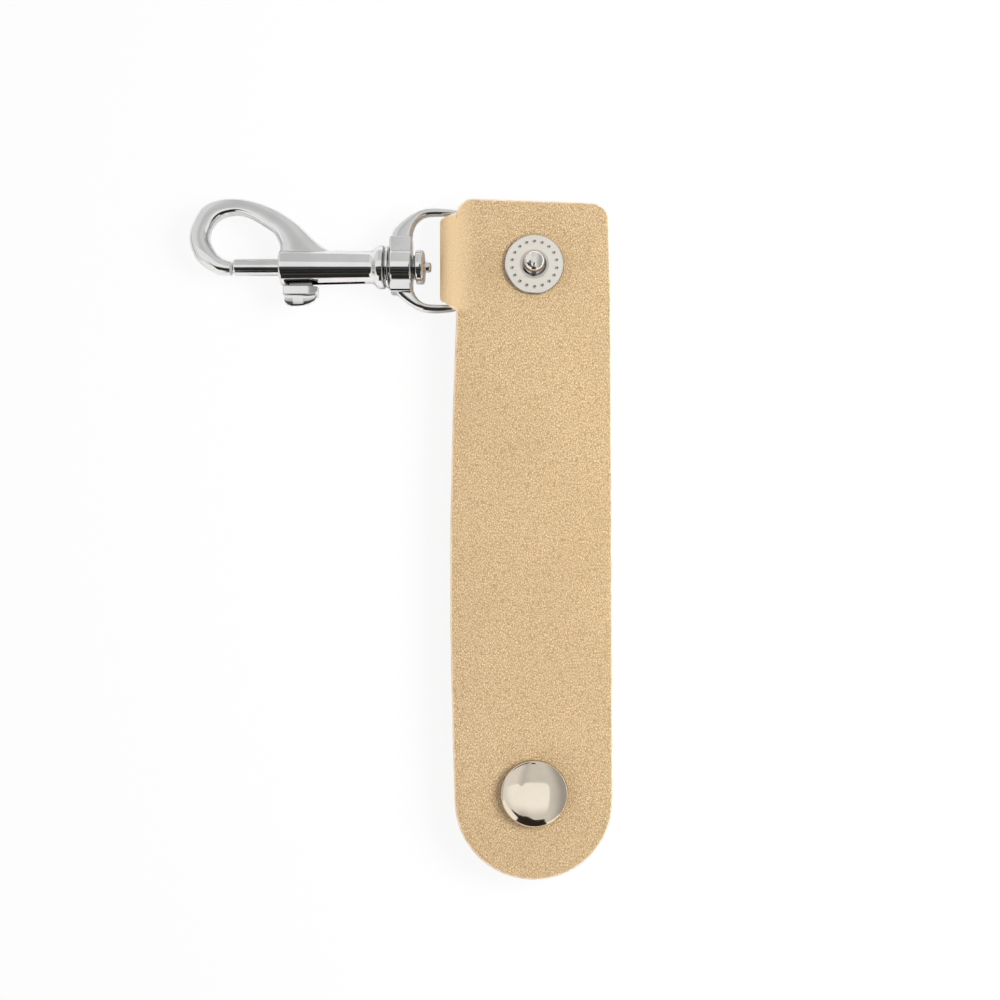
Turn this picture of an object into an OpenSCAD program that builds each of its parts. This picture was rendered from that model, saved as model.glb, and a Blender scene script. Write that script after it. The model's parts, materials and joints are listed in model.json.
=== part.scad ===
// Leather key strap with a snap fastener and a swivel bolt hook.
// It lies flat: the strap runs along Y, the hook along X, and the fastener's front faces +Z.
// Sizes are first laid out from the stud's axis, and place() then centres the whole on its box.

/* [Strap] */
// Width of the strap at its head
strap_w = 28.6; // [25:0.1:33]
// How much wider the strap is at its tail
tail_growth = 0.6; // [0:0.1:3]
// Outward bow of the left edge halfway down the strap
edge_bow = 0.95; // [0:0.05:2]
// Thickness of the leather
strap_t = 1.5; // [1.2:0.1:2]
// Distance from the stud's axis to the cap's axis
stud_to_cap = 97.2; // [88:0.5:115]
// Distance from the cap's axis to the end of the tail
tail_past_cap = 16; // [15:0.5:20]
// Height of the head's top edge above the stud's axis
head_rise = 12.35; // [11:0.05:13]
// How far the top edge falls from its left end to its right end
head_slope = 1; // [0:0.1:1.5]
// Radius of the head's corners
head_corner_r = 2.5; // [1:0.1:4]
// How far the stud stands to the right of the strap's middle
stud_offset = 0.1; // [0:0.1:1]

/* [Tab] */
// Width of the tab where it folds
tab_w = 14.9; // [13:0.1:17]
// Width of the tab where it leaves the strap
tab_root_w = 18; // [17:0.1:19]
// How far the root's middle lies below the middle of the fold, in plan
tab_root_drop = 0.75; // [0:0.05:1]
// How far the folded tab runs past the stud's axis, behind the head
tab_reach = 7.5; // [6:0.1:9]
// Length of the slope that brings the folded tab up against the head
tab_slope_l = 8; // [6:0.1:9]
// Radius of the hidden end's corners
tab_corner_r = 2.5; // [1:0.1:4]

/* [Strap hinges] */
// Distance from the stud's axis to the first hinge line
head_l = 9.2; // [9:0.1:10]
// Distance from the last hinge line to the cap's axis
end_l = 10.3; // [10:0.1:12]
// Bend of each hinge line when the strap is closed
hinge_bend = 60; // [60:1:60]

/* [Snap stud] */
// Radius of the stud's flange
stud_flange_r = 5.45; // [5:0.05:6]
// Height of the stud's flange above the leather
stud_flange_t = 0.6; // [0.5:0.05:0.8]
// Radius of the stud's ball
stud_ball_r = 1.9; // [1.8:0.05:2]
// Height of the knob above the flange
stud_knob_h = 3.4; // [3.2:0.05:3.5]
// Radius of the knob's foot
stud_foot_r = 2.5; // [2.4:0.05:2.6]
// Radius of the circle of dimples
dimple_circle_r = 4.15; // [3.8:0.05:4.4]
// Radius of one dimple
dimple_r = 0.32; // [0.2:0.02:0.4]
// Number of dimples
dimple_count = 18; // [12:1:20]

/* [Snap cap and socket] */
// Radius of the domed cap
cap_r = 6.2; // [5.8:0.05:7]
// Height of the cap above the leather
cap_h = 2.6; // [2.2:0.05:3]
// Height of the cap's upright rim
cap_rim_h = 0.9; // [0.7:0.05:1.1]
// Thickness of the sheet that the cap is pressed from
sheet_t = 0.35; // [0.3:0.01:0.4]
// Radius of the socket's base
socket_r = 5.5; // [5:0.05:6]
// Radius of the socket's raised cup
socket_cup_r = 4; // [3.6:0.05:4.4]
// Height of the socket behind the leather
socket_h = 4.2; // [4.2:0.05:4.5]
// Radius of the eyelet tubes that go through the leather
post_r = 1.7; // [1.6:0.02:1.74]
// Wire radius of the socket's split ring
snap_wire_r = 0.25; // [0.2:0.01:0.26]

/* [Swivel eye] */
// Radius of the straight bar that the tab folds round
bar_r = 1; // [0.9:0.05:1.1]
// How far the bar's axis lies outside the strap's left edge
bar_out = 0.5; // [0.5:0.05:0.8]
// Gap between the tab's edge and the ring's inner side
tab_play = 0.8; // [0.5:0.05:1]
// Width of the ring's wire, in the ring's plane
ring_wire_w = 1.5; // [1.2:0.05:2]
// Thickness of the ring's wire, square to the ring's plane
ring_wire_t = 2.3; // [2:0.05:2.4]
// Distance from the bar's axis to the face of the boss
ring_reach = 11.9; // [11:0.05:13]
// How far the middle of the ring and the fold lies above the hook's axis, in plan
ring_offset = 1.25; // [0:0.05:1.4]
// Length of the boss
boss_l = 4.1; // [3.6:0.1:4.5]
// Radius of the boss
boss_r = 3.4; // [3.1:0.05:3.8]
// Width of the boss's flat shoulders
shoulder_w = 10.3; // [8:0.1:11]
// Thickness of the boss's flat shoulders
shoulder_t = 4; // [3:0.1:5]

/* [Swivel rivet] */
// Radius of the rivet's head
rivet_head_r = 3.1; // [2.8:0.05:3.3]
// Thickness of the rivet's head
rivet_head_t = 1.55; // [1.3:0.05:1.6]
// Radius of the rivet's step under its head
rivet_step_r = 2.2; // [2:0.05:2.5]
// Thickness of the rivet's step
rivet_step_t = 0.55; // [0.4:0.05:0.6]
// Radius of the turned nub in the middle of the head
rivet_nub_r = 0.9; // [0.7:0.05:1.1]
// Length of the nub
rivet_nub_l = 1.25; // [0.8:0.05:1.4]

/* [Hook] */
// Height of the hook's axis above the stud's axis, in plan
hook_y = 0.2; // [0:0.05:0.5]
// Length of the barrel with its collar and lip
barrel_l = 20.15; // [19.5:0.05:22]
// Radius of the barrel at its front
barrel_r = 3.3; // [3.1:0.05:3.5]
// Radius of the barrel just before its collar
barrel_rear_r = 2.9; // [2.8:0.05:3]
// Radius of the collar, which the hook lies on
collar_r = 3.95; // [3.6:0.05:4.3]
// Distance from the barrel's front to the far side of the hook
hook_reach = 16.9; // [15:0.1:19]
// Height of the hook's outer side above the barrel's axis
hook_rise = 12.65; // [11.5:0.05:14]
// Thickness of the hook's wire, square to its plane
hook_wire_t = 3.2; // [2.8:0.05:3.6]

/* [Latch] */
// Radius of the latch bolt
bolt_r = 1.5; // [1.4:0.05:1.6]
// Running clearance round the bolt and the swivel's shank
run_gap = 0.06; // [0.04:0.01:0.1]
// Travel of the bolt
bolt_travel = 9.5; // [8.5:0.05:9.6]
// Length of the bolt inside the barrel when the hook is shut
bolt_tail_l = 6.4; // [6.2:0.05:6.6]
// Length of the knob along the barrel
knob_l = 6.2; // [5.9:0.05:6.5]
// How far the knob's lowest point lies from the barrel's axis
knob_reach = 7.05; // [6.8:0.05:8]
// Width of the knob, square to the hook's plane
knob_w = 4.4; // [3.8:0.1:5]
// Length of the chamfers at the knob's rear end
knob_chamfer_l = 1.7; // [0.5:0.1:2.5]
// Width of the stem that joins the knob to the bolt
stem_w = 1.8; // [1.5:0.05:1.9]
// Wire radius of the latch spring
spring_wire_r = 0.14; // [0.12:0.01:0.16]
// Number of curls of the latch spring
spring_curls = 5; // [4:1:6]

/* [Hidden] */
$fn = 48;

// Colours of the leather and of the plated metal
leather = [0.85, 0.74, 0.57];
bright = [0.80, 0.81, 0.83];
dull = [0.68, 0.69, 0.71];

// Overrun of every cut
over = 1;
// Clearance between parts that lie against each other and turn or press together
rest_gap = 0.15;
// Clearance round an eyelet in the leather
hole_gap = 0.05;

// Heights of the bar's axis, the leather's back face and its front face above the ground
bar_z = collar_r;
fold_in = bar_r + rest_gap;
fold_out = fold_in + strap_t;
back_z = bar_z + fold_in;
front_z = back_z + strap_t;

// Places along X from the stud's axis
strap_mid = -stud_offset;
edge_x = strap_mid - strap_w / 2;
bar_x = edge_x - bar_out;
boss_face_x = bar_x - ring_reach;
barrel_rear_x = boss_face_x - rest_gap - run_gap;
barrel_x = barrel_rear_x - barrel_l;
hook_left_x = barrel_x - hook_reach;
tail_r = (strap_w + tail_growth) / 2;
tail_y = -stud_to_cap - tail_past_cap + tail_r;
right_x = strap_mid + tail_r;

// Middles of the fold and of the tab's root, from the stud's axis
fold_y = hook_y + ring_offset;
root_y = fold_y - tab_root_drop;

// Middle of the whole object's box in plan
top_y = max(hook_y + hook_rise, head_rise);
mid_x = (hook_left_x + right_x) / 2;
mid_y = (top_y - stud_to_cap - tail_past_cap) / 2;

// Lengths between the strap's hinge lines, such that the socket lands on the stud when closed
snap_rise = strap_t + stud_flange_t + socket_h + rest_gap;
pair_sum = (stud_to_cap - 2 * head_l - 2 * end_l) / 2;
pair_difference = snap_rise / (2 * sin(hinge_bend));
near_l = (pair_sum - pair_difference) / 2;
far_l = (pair_sum + pair_difference) / 2;
spans = [near_l, near_l, head_l + end_l, far_l, far_l];
function span_sum(k) = k == 0 ? 0 : spans[k - 1] + span_sum(k - 1);
hinge_y = [for (k = [0:5]) -head_l - span_sum(k)];
echo(hinge_lines_from_stud = hinge_y);
echo(object_middle = [mid_x, mid_y], hinge_height = back_z, bar = [bar_x, fold_y, bar_z], hook_axis_y = hook_y);

// Moves a shape from the stud's axis to the middle of the object's box
module place() {
    translate([-mid_x, -mid_y, 0]) children();
}

// Puts a shape that is drawn along +X from the barrel's front onto the hook's axis
module on_hook_axis() {
    translate([barrel_x, hook_y, bar_z]) children();
}

// A solid of revolution about the hook's axis, drawn as [distance along X, radius]
module turned(points) {
    rotate([0, 90, 0]) rotate([0, 0, 90]) rotate_extrude() polygon([for (p = points) [p[1], p[0]]]);
}

// A rod along X
module rod(x0, x1, r) {
    translate([x0, 0, 0]) rotate([0, 90, 0]) cylinder(h = x1 - x0, r = r);
}

// A smooth curve through a list of points of any dimension
function spline_point(a, b, c, d, t) =
    0.5 * (2 * b + (c - a) * t + (2 * a - 5 * b + 4 * c - d) * t * t + (3 * b - a - 3 * c + d) * t * t * t);
function spline(p, steps) = [
    for (i = [0:len(p) - 2], k = [0:steps - 1])
        spline_point(p[max(i - 1, 0)], p[i], p[i + 1], p[min(i + 2, len(p) - 1)], k / steps),
    p[len(p) - 1]
];

// A bar lofted between two rails. Each station is [outer x, outer y, inner x, inner y, half thickness].
loft_sides = 12;
loft_squareness = 0.62;
function soft_cos(a) = sign(cos(a)) * pow(abs(cos(a)), loft_squareness);
function soft_sin(a) = sign(sin(a)) * pow(abs(sin(a)), loft_squareness);
function loft_ring(s) = [
    for (k = [0:loft_sides - 1])
        let (a = 360 * k / loft_sides, u = soft_cos(a))
            [(s[0] + s[2] + u * (s[0] - s[2])) / 2, (s[1] + s[3] + u * (s[1] - s[3])) / 2, s[4] * soft_sin(a)]
];
function tube_faces(rings, sides) = concat(
    [[for (k = [0:sides - 1]) k]],
    [for (i = [0:rings - 2], k = [0:sides - 1])
        let (a = i * sides, b = a + sides, n = (k + 1) % sides) each [[a + k, b + k, a + n], [a + n, b + k, b + n]]],
    [[for (k = [sides - 1:-1:0]) (rings - 1) * sides + k]]
);
module rail_loft(stations, steps) {
    s = spline(stations, steps);
    polyhedron([for (p = s) each loft_ring(p)], tube_faces(len(s), loft_sides));
}

// Strap outline: distance of each edge from the strap's middle at a distance y from the stud's axis
function down_strap(y) = max(0, min(1, (-head_l - y) / (-head_l - tail_y)));
function left_edge(y) =
    strap_mid - strap_w / 2 - tail_growth / 2 * down_strap(y) - edge_bow * sin(180 * down_strap(y));
function right_edge(y) = strap_mid + strap_w / 2 + tail_growth / 2 * sin(90 * down_strap(y));
edge_steps = 4;
tail_steps = 32;
function band_ys(y0, y1) = [for (i = [0:edge_steps]) y0 + (y1 - y0) * i / edge_steps];
module strap_band(y0, y1) {
    polygon(concat(
        [for (y = band_ys(y0, y1)) [left_edge(y), y]],
        [for (y = band_ys(y1, y0)) [right_edge(y), y]]
    ));
}

// Height of the head's top edge at a place along X
function top_edge(x) = head_rise - head_slope * (x - edge_x) / strap_w;
corner_steps = 6;
module head_outline() {
    left = edge_x + head_corner_r;
    right = edge_x + strap_w - head_corner_r;
    polygon(concat(
        [[edge_x, -head_l], [edge_x + strap_w, -head_l]],
        [for (i = [0:corner_steps])
            let (a = 90 * i / corner_steps)
                [right + head_corner_r * cos(a), top_edge(right) - head_corner_r * (1 - sin(a))]],
        [for (i = [0:corner_steps])
            let (a = 90 + 90 * i / corner_steps)
                [left + head_corner_r * cos(a), top_edge(left) - head_corner_r * (1 - sin(a))]]
    ));
}

// The tab's root, which flares into the strap's edge just clear of the ring
module tab_root() {
    clear_x = edge_x - bar_out / 2;
    low = fold_y - tab_w / 2;
    high = fold_y + tab_w / 2;
    root_low = root_y - tab_root_w / 2;
    root_high = root_y + tab_root_w / 2;
    polygon([
        [bar_x, low], [clear_x, low], [edge_x, root_low], [edge_x + head_corner_r, root_low],
        [edge_x + head_corner_r, root_high], [edge_x, root_high], [clear_x, high], [bar_x, high]
    ]);
}

// Side view of the fold round the bar and of the slope behind the head, as [x, z]
slope_steps = 8;
function ease(s) = s * s * (3 - 2 * s);
module fold_profile() {
    low_z = bar_z - fold_out;
    high_z = back_z - strap_t;
    slope = [for (i = [0:slope_steps])
        let (s = i / slope_steps) [bar_x + tab_slope_l * s, low_z + (high_z - low_z) * ease(s)]];
    difference() {
        translate([bar_x, bar_z]) circle(r = fold_out);
        translate([bar_x, bar_z]) circle(r = fold_in);
        translate([bar_x, bar_z - fold_out - over]) square([fold_out + over, 2 * (fold_out + over)]);
    }
    polygon(concat(
        slope, [[tab_reach, high_z], [tab_reach, back_z]],
        [for (i = [slope_steps:-1:0]) slope[i] + [0, strap_t]]
    ));
}

// Plan of the hidden tab, which rounds its far corners
module tab_plan() {
    left = bar_x - fold_out - over;
    long = tab_reach - left - tab_corner_r;
    translate([left, -tab_w / 2]) square([long, tab_w]);
    translate([left, -tab_w / 2 + tab_corner_r]) square([long + tab_corner_r, tab_w - 2 * tab_corner_r]);
    for (side = [-1, 1])
        translate([left + long, side * (tab_w / 2 - tab_corner_r)]) circle(r = tab_corner_r);
}

module strap_head() {
    color(leather) place() difference() {
        union() {
            translate([0, 0, back_z]) linear_extrude(strap_t) {
                head_outline();
                tab_root();
            }
            translate([0, fold_y, 0]) intersection() {
                rotate([90, 0, 0]) linear_extrude(tab_w, center = true) fold_profile();
                linear_extrude(front_z + over) tab_plan();
            }
        }
        cylinder(h = front_z + over, r = post_r + hole_gap);
    }
}

// One rigid length of the strap between two hinge lines
module strap_length(k) {
    color(leather) place() translate([0, 0, back_z]) linear_extrude(strap_t)
        strap_band(hinge_y[k], hinge_y[k - 1]);
}

module strap_end() {
    color(leather) place() translate([0, 0, back_z]) difference() {
        linear_extrude(strap_t) polygon(concat(
            [for (y = band_ys(hinge_y[5], tail_y)) [left_edge(y), y]],
            [for (i = [1:tail_steps - 1])
                let (a = 180 + 180 * i / tail_steps) [strap_mid + tail_r * cos(a), tail_y + tail_r * sin(a)]],
            [for (y = band_ys(tail_y, hinge_y[5])) [right_edge(y), y]]
        ));
        translate([0, -stud_to_cap, -over]) cylinder(h = strap_t + 2 * over, r = post_r + hole_gap);
    }
}

// Stud, as [radius, height above the flange's face]
ball_z = stud_knob_h * 0.57;
ball_cap_h = stud_knob_h - ball_z;
neck_z = stud_knob_h / 4;
neck_r = sqrt(pow(stud_ball_r, 2) - pow(ball_z - neck_z, 2));
arc_steps = 8;
stud_wall = sheet_t;
module stud() {
    knob = concat(
        [for (i = [0:arc_steps])
            let (a = 90 * i / arc_steps) [stud_ball_r * sin(a), ball_z + ball_cap_h * cos(a)]],
        [for (i = [1:arc_steps / 2])
            let (h = ball_z + (neck_z - ball_z) * 2 * i / arc_steps)
                [sqrt(pow(stud_ball_r, 2) - pow(ball_z - h, 2)), h]],
        [for (i = [1:arc_steps / 2])
            let (a = 90 * (2 * i / arc_steps))
                [stud_foot_r - (stud_foot_r - neck_r) * cos(a), neck_z * (1 - sin(a))]]
    );
    rim = stud_flange_t / 3;
    color(bright) place() translate([0, 0, front_z + stud_flange_t]) difference() {
        rotate_extrude() polygon(concat(
            knob,
            [[stud_flange_r - rim, 0], [stud_flange_r, -rim], [stud_flange_r, -2 * rim],
             [stud_flange_r - rim, -stud_flange_t], [0, -stud_flange_t]]
        ));
        translate([0, 0, -stud_flange_t - over]) cylinder(h = stud_flange_t + over, r = post_r);
        translate([0, 0, -over]) cylinder(h = over + ball_z, r = neck_r - stud_wall);
        for (k = [0:dimple_count - 1])
            rotate([0, 0, 360 * k / dimple_count]) translate([dimple_circle_r, 0, dimple_r / 3])
                sphere(r = dimple_r * 1.2, $fn = 16);
    }
}

// Eyelet behind the head: its tube goes through both layers and grips inside the stud
post_flange_r = stud_flange_r * 0.9;
post_wall = sheet_t;
module stud_post() {
    foot_z = back_z - strap_t - sheet_t;
    color(dull) place() difference() {
        union() {
            translate([0, 0, foot_z]) cylinder(h = sheet_t, r = post_flange_r);
            translate([0, 0, foot_z]) cylinder(h = front_z + stud_flange_t - foot_z, r = post_r);
            translate([0, 0, foot_z])
                cylinder(h = front_z + stud_flange_t + neck_z - foot_z, r = neck_r - stud_wall);
        }
        translate([0, 0, foot_z - over])
            cylinder(h = front_z + stud_flange_t - foot_z + neck_z / 2 + over, r = neck_r - 2 * stud_wall);
    }
}

// Cap, as [radius, height above the leather]
module cap_shell() {
    lip = sheet_t;
    function dome(r, h) = [
        for (i = [0:arc_steps]) let (a = 90 * i / arc_steps) [r * sin(a), cap_rim_h + h * cos(a)]
    ];
    outer = dome(cap_r, cap_h - cap_rim_h);
    inner = dome(cap_r - sheet_t, cap_h - cap_rim_h - sheet_t);
    color(bright) place() translate([0, -stud_to_cap, front_z]) rotate_extrude($fn = 96) polygon(concat(
        outer,
        [[cap_r, lip], [cap_r - lip, 0], [post_flange_r, 0], [post_flange_r, sheet_t], [cap_r - lip, sheet_t]],
        [for (i = [arc_steps:-1:0]) inner[i]]
    ));
}

// Eyelet under the cap: its tube goes through the tail and flares inside the socket
socket_bore_r = stud_ball_r + rest_gap;
module cap_post() {
    end_z = back_z - 2 * sheet_t;
    color(dull) place() translate([0, -stud_to_cap, 0]) difference() {
        union() {
            translate([0, 0, front_z]) cylinder(h = sheet_t, r = post_flange_r);
            translate([0, 0, end_z]) cylinder(h = front_z + sheet_t - end_z, r = post_r);
            translate([0, 0, end_z]) cylinder(h = sheet_t, r = socket_bore_r - hole_gap);
        }
        translate([0, 0, end_z - over])
            cylinder(h = front_z - end_z + over, r = post_r - post_wall);
    }
}

// Socket, as [radius, depth behind the leather]. Its groove holds the split ring.
grip_z = socket_h + rest_gap - neck_z;
snap_ring_r = neck_r + 2 * hole_gap + snap_wire_r + rest_gap / 2;
module socket_body() {
    groove = snap_wire_r + hole_gap;
    groove_r = snap_ring_r + snap_wire_r + 2 * hole_gap;
    round = sheet_t;
    base = socket_h / 4;
    color(dull) place() translate([0, -stud_to_cap, back_z]) mirror([0, 0, 1]) rotate_extrude($fn = 96)
        polygon([
            [post_r, 0], [socket_r - round / 2, 0], [socket_r, round / 2], [socket_r, base - round],
            [socket_r - round, base], [socket_cup_r + round, base + round / 2], [socket_cup_r, base + 2 * round],
            [socket_cup_r, socket_h - round], [socket_cup_r - round, socket_h],
            [stud_foot_r + rest_gap, socket_h], [socket_bore_r, grip_z + groove + round / 4],
            [socket_bore_r, grip_z + groove], [groove_r, grip_z + groove], [groove_r, grip_z - groove],
            [socket_bore_r, grip_z - groove], [socket_bore_r, sheet_t], [post_r, sheet_t]
        ]);
}

// Split wire ring that grips the stud's neck
snap_gap_angle = 50;
module socket_spring() {
    color(dull) place() translate([0, -stud_to_cap, back_z - grip_z]) rotate([0, 0, snap_gap_angle / 2])
        rotate_extrude(angle = 360 - snap_gap_angle) translate([snap_ring_r, 0]) circle(r = snap_wire_r, $fn = 16);
}

// Swivel eye. Stations follow the ring from the bar's end round to the boss, as shares of the ring's
// reach and outer half height, of the opening's depth and half height, and of the half thickness.
// A boss with flat shoulders joins the ring's two sides, and its bore lies on the hook's axis.
ring_in = tab_w / 2 + tab_play;
ring_out = ring_in + ring_wire_w;
eye_shares = [
    [-0.068, 0.915, -0.103, 1.02, 0.40], [-0.03, 0.955, -0.045, 1.0, 0.76], [0.11, 0.985, 0.165, 1.0, 0.82],
    [0.28, 1.0, 0.43, 1.0, 0.90], [0.45, 0.985, 0.66, 0.98, 0.95], [0.60, 0.925, 0.81, 0.91, 1.0],
    [0.73, 0.825, 0.92, 0.79, 1.0], [0.855, 0.70, 0.98, 0.63, 1.0], [0.955, 0.555, 1.0, 0.44, 1.05],
    [0.995, 0.37, 1.0, 0.27, 1.1], [0.995, 0.12, 1.0, 0.09, 1.1]
];
function eye_station(s, side) = [
    bar_x - s[0] * ring_reach, side * s[1] * ring_out,
    bar_x - s[2] * (ring_reach - boss_l), side * s[3] * ring_in,
    s[4] * ring_wire_t / 2
];
shank_r = bolt_r + run_gap;
boss_round = boss_r / 6;
module shoulder_section() {
    w = shoulder_w / 2;
    t = shoulder_t / 2;
    c = boss_round;
    polygon([[-w, c - t], [c - w, -t], [w - c, -t], [w, c - t], [w, t - c], [w - c, t], [c - w, t], [-w, t - c]]);
}
module swivel_eye() {
    last = len(eye_shares) - 1;
    color(bright) place() translate([0, hook_y, bar_z]) difference() {
        union() {
            translate([0, ring_offset, 0]) {
                rail_loft(concat(
                    [for (i = [0:last]) eye_station(eye_shares[i], -1)],
                    [for (i = [last:-1:0]) eye_station(eye_shares[i], 1)]
                ), 3);
                translate([bar_x, 0, 0]) rotate([90, 0, 0])
                    cylinder(h = 2 * ring_in + ring_wire_w / 2, r = bar_r, center = true);
            }
            translate([boss_face_x, ring_offset / 4, 0]) rotate([90, 0, 90])
                linear_extrude(boss_l) shoulder_section();
            translate([boss_face_x, 0, 0]) turned([
                [0, 0], [0, boss_r - boss_round], [boss_round, boss_r],
                [boss_l - boss_round, boss_r], [boss_l, boss_r - boss_round], [boss_l, 0]
            ]);
        }
        rod(boss_face_x - over, boss_face_x + boss_l + over, shank_r + run_gap);
    }
}

// Swivel rivet: its shank closes the barrel's bore, and its head turns against the boss
shank_in = barrel_l / 9;
module swivel_rivet() {
    step_x = boss_face_x + boss_l + rest_gap;
    head_x = step_x + rivet_step_t;
    edge = rivet_head_t / 3;
    end_x = head_x + rivet_head_t;
    color(bright) place() translate([0, hook_y, bar_z]) turned([
        [barrel_rear_x - shank_in, 0], [barrel_rear_x - shank_in, shank_r], [step_x, shank_r],
        [step_x, rivet_step_r], [head_x, rivet_step_r], [head_x, rivet_head_r - edge / 2],
        [head_x + edge / 2, rivet_head_r], [end_x - edge, rivet_head_r], [end_x, rivet_head_r - edge],
        [end_x, rivet_nub_r], [end_x + rivet_nub_l - edge / 2, rivet_nub_r],
        [end_x + rivet_nub_l, rivet_nub_r - edge / 2], [end_x + rivet_nub_l, 0]
    ]);
}

// Hook. Stations run from the tip round the hook to the barrel, as shares of its reach and rise.
hook_shares = [
    [0.550, -0.115, 0.550, 0.079, 0.86], [0.650, -0.108, 0.618, 0.112, 0.92], [0.746, -0.068, 0.686, 0.172, 0.96],
    [0.923, 0.106, 0.763, 0.330, 1.0], [1.0, 0.395, 0.781, 0.450, 1.0], [0.959, 0.640, 0.748, 0.585, 1.0],
    [0.852, 0.875, 0.698, 0.676, 1.0], [0.689, 0.978, 0.613, 0.745, 1.0], [0.479, 1.0, 0.473, 0.775, 1.0],
    [0.231, 0.937, 0.337, 0.725, 1.02], [0.010, 0.810, 0.207, 0.625, 1.06], [-0.189, 0.630, 0.075, 0.500, 1.12],
    [-0.349, 0.423, 0.009, 0.330, 1.2], [-0.473, 0.287, 0.003, 0.175, 1.25], [-0.62, 0.19, -0.02, 0.08, 1.25]
];
function hook_station(s) = [
    -s[0] * hook_reach, s[1] * hook_rise, -s[2] * hook_reach, s[3] * hook_rise, s[4] * hook_wire_t / 2
];
mouth_share = 0.550;

// Barrel, as [distance from its front, radius], with a bevelled front, a collar, a groove and a lip
lip_l = 0.5;
groove_l = 0.35;
collar_l = 1.65;
flare_l = 0.5;
front_bevel = 0.45;
stem_l = knob_l * 0.68;
knob_x = front_bevel * 1.5;
stem_x = knob_x + (knob_l - stem_l) / 2;
slot_x = stem_x - 2 * rest_gap;
slot_end_x = stem_x + stem_l + bolt_travel + rest_gap;
bolt_bore_r = bolt_r + run_gap;
module hook_body() {
    lip_x = barrel_l - lip_l;
    groove_x = lip_x - groove_l;
    collar_x = groove_x - collar_l;
    flare_x = collar_x - flare_l;
    color(bright) place() on_hook_axis() difference() {
        union() {
            turned([
                [0, 0], [0, barrel_r - front_bevel], [front_bevel, barrel_r], [flare_x, barrel_rear_r],
                [collar_x, collar_r - front_bevel], [collar_x + front_bevel, collar_r],
                [groove_x, collar_r], [groove_x, collar_r - front_bevel], [lip_x, collar_r - front_bevel],
                [lip_x, collar_r - rest_gap], [barrel_l, collar_r - rest_gap], [barrel_l, 0]
            ]);
            rail_loft([for (s = hook_shares) hook_station(s)], 3);
        }
        rod(-over, barrel_l + over, bolt_bore_r);
        translate([slot_x, -barrel_r - over, -stem_w / 2 - rest_gap])
            cube([slot_end_x - slot_x, barrel_r + over, stem_w + 2 * rest_gap]);
    }
}

// Latch bolt, with a flat-sided pocket that holds the knob's stem
bolt_tip_gap = 0.4;
bolt_front_x = -mouth_share * hook_reach + bolt_tip_gap;
pocket_y = -bolt_r / 5;
bolt_bevel = bolt_r / 3;
module latch_bolt() {
    color(bright) place() on_hook_axis() difference() {
        turned([
            [bolt_front_x, 0], [bolt_front_x, bolt_r - bolt_bevel], [bolt_front_x + bolt_bevel, bolt_r],
            [bolt_tail_l, bolt_r], [bolt_tail_l, 0]
        ]);
        translate([stem_x, -bolt_r - over, -stem_w / 2]) cube([stem_l, bolt_r + over + pocket_y, stem_w]);
    }
}

// Thumb knob: a block beside the barrel, a rounded thumb piece, and a stem in the bolt
knob_steps = 6;
block_share = 0.43;
thumb_w_share = 0.82;
knob_end_share = 0.62;
module thumb_knob() {
    near_y = -barrel_r - rest_gap;
    ridge_y = near_y - (knob_reach + near_y) * block_share;
    far_x = knob_x + knob_l;
    toe_r = knob_reach + ridge_y;
    heel_r = toe_r / 2;
    heel_x = knob_x + knob_l / 12;
    function arc(x, y, r, start) = [
        for (i = [0:knob_steps]) let (a = start + 90 * i / knob_steps) [x + r * cos(a), y + r * sin(a)]
    ];
    side_z = knob_w / 2;
    end_z = side_z * knob_end_share;
    color(bright) place() on_hook_axis() {
        translate([stem_x, near_y, -stem_w / 2]) cube([stem_l, pocket_y - near_y, stem_w]);
        intersection() {
            linear_extrude(knob_w, center = true) polygon([
                [knob_x, near_y], [far_x, near_y], [far_x, ridge_y], [(knob_x + heel_x) / 2, ridge_y]
            ]);
            rotate([90, 0, 0]) linear_extrude(2 * knob_reach, center = true) polygon([
                [knob_x, -side_z], [far_x - knob_chamfer_l, -side_z], [far_x, -end_z],
                [far_x, end_z], [far_x - knob_chamfer_l, side_z], [knob_x, side_z]
            ]);
        }
        linear_extrude(knob_w * thumb_w_share, center = true) polygon(concat(
            [[(knob_x + heel_x) / 2, ridge_y]],
            arc(heel_x + heel_r, heel_r - knob_reach, heel_r, 180),
            arc(far_x - toe_r, ridge_y, toe_r, 270)
        ));
    }
}

// Latch spring: one unbroken helical tube between the bolt's end and the rivet's shank
spring_sides = 6;
rings_per_curl = 8;
spring_r = bolt_bore_r - spring_wire_r - 2 * run_gap;
spring_x0 = bolt_tail_l + spring_wire_r + rest_gap;
spring_x1 = barrel_l - shank_in - spring_wire_r - rest_gap;
spring_rings = spring_curls * rings_per_curl;
function coil_angle(i) = 360 * i / rings_per_curl;
function coil_centre(i) = [
    spring_x0 + (spring_x1 - spring_x0) * i / spring_rings,
    spring_r * cos(coil_angle(i)), spring_r * sin(coil_angle(i))
];
coil_slope = atan2((spring_x1 - spring_x0) / spring_curls, 2 * PI * spring_r);
function coil_ring(i) = [
    for (k = [0:spring_sides - 1])
        let (b = 360 * k / spring_sides, out = spring_wire_r * cos(b), side = spring_wire_r * sin(b), a = coil_angle(i))
            coil_centre(i) + [side * cos(coil_slope), out * cos(a) + side * sin(coil_slope) * sin(a),
                              out * sin(a) - side * sin(coil_slope) * cos(a)]
];
coil_gap = min([
    for (i = [0:rings_per_curl - 1], j = [i + rings_per_curl / 2:spring_rings])
        norm(coil_centre(i) - coil_centre(j)) - 2 * spring_wire_r
]);
echo(latch_spring_least_gap = coil_gap);
module latch_spring() {
    color(dull) place() on_hook_axis() polyhedron(
        [for (i = [0:spring_rings]) each coil_ring(i)], tube_faces(spring_rings + 1, spring_sides)
    );
}

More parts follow.
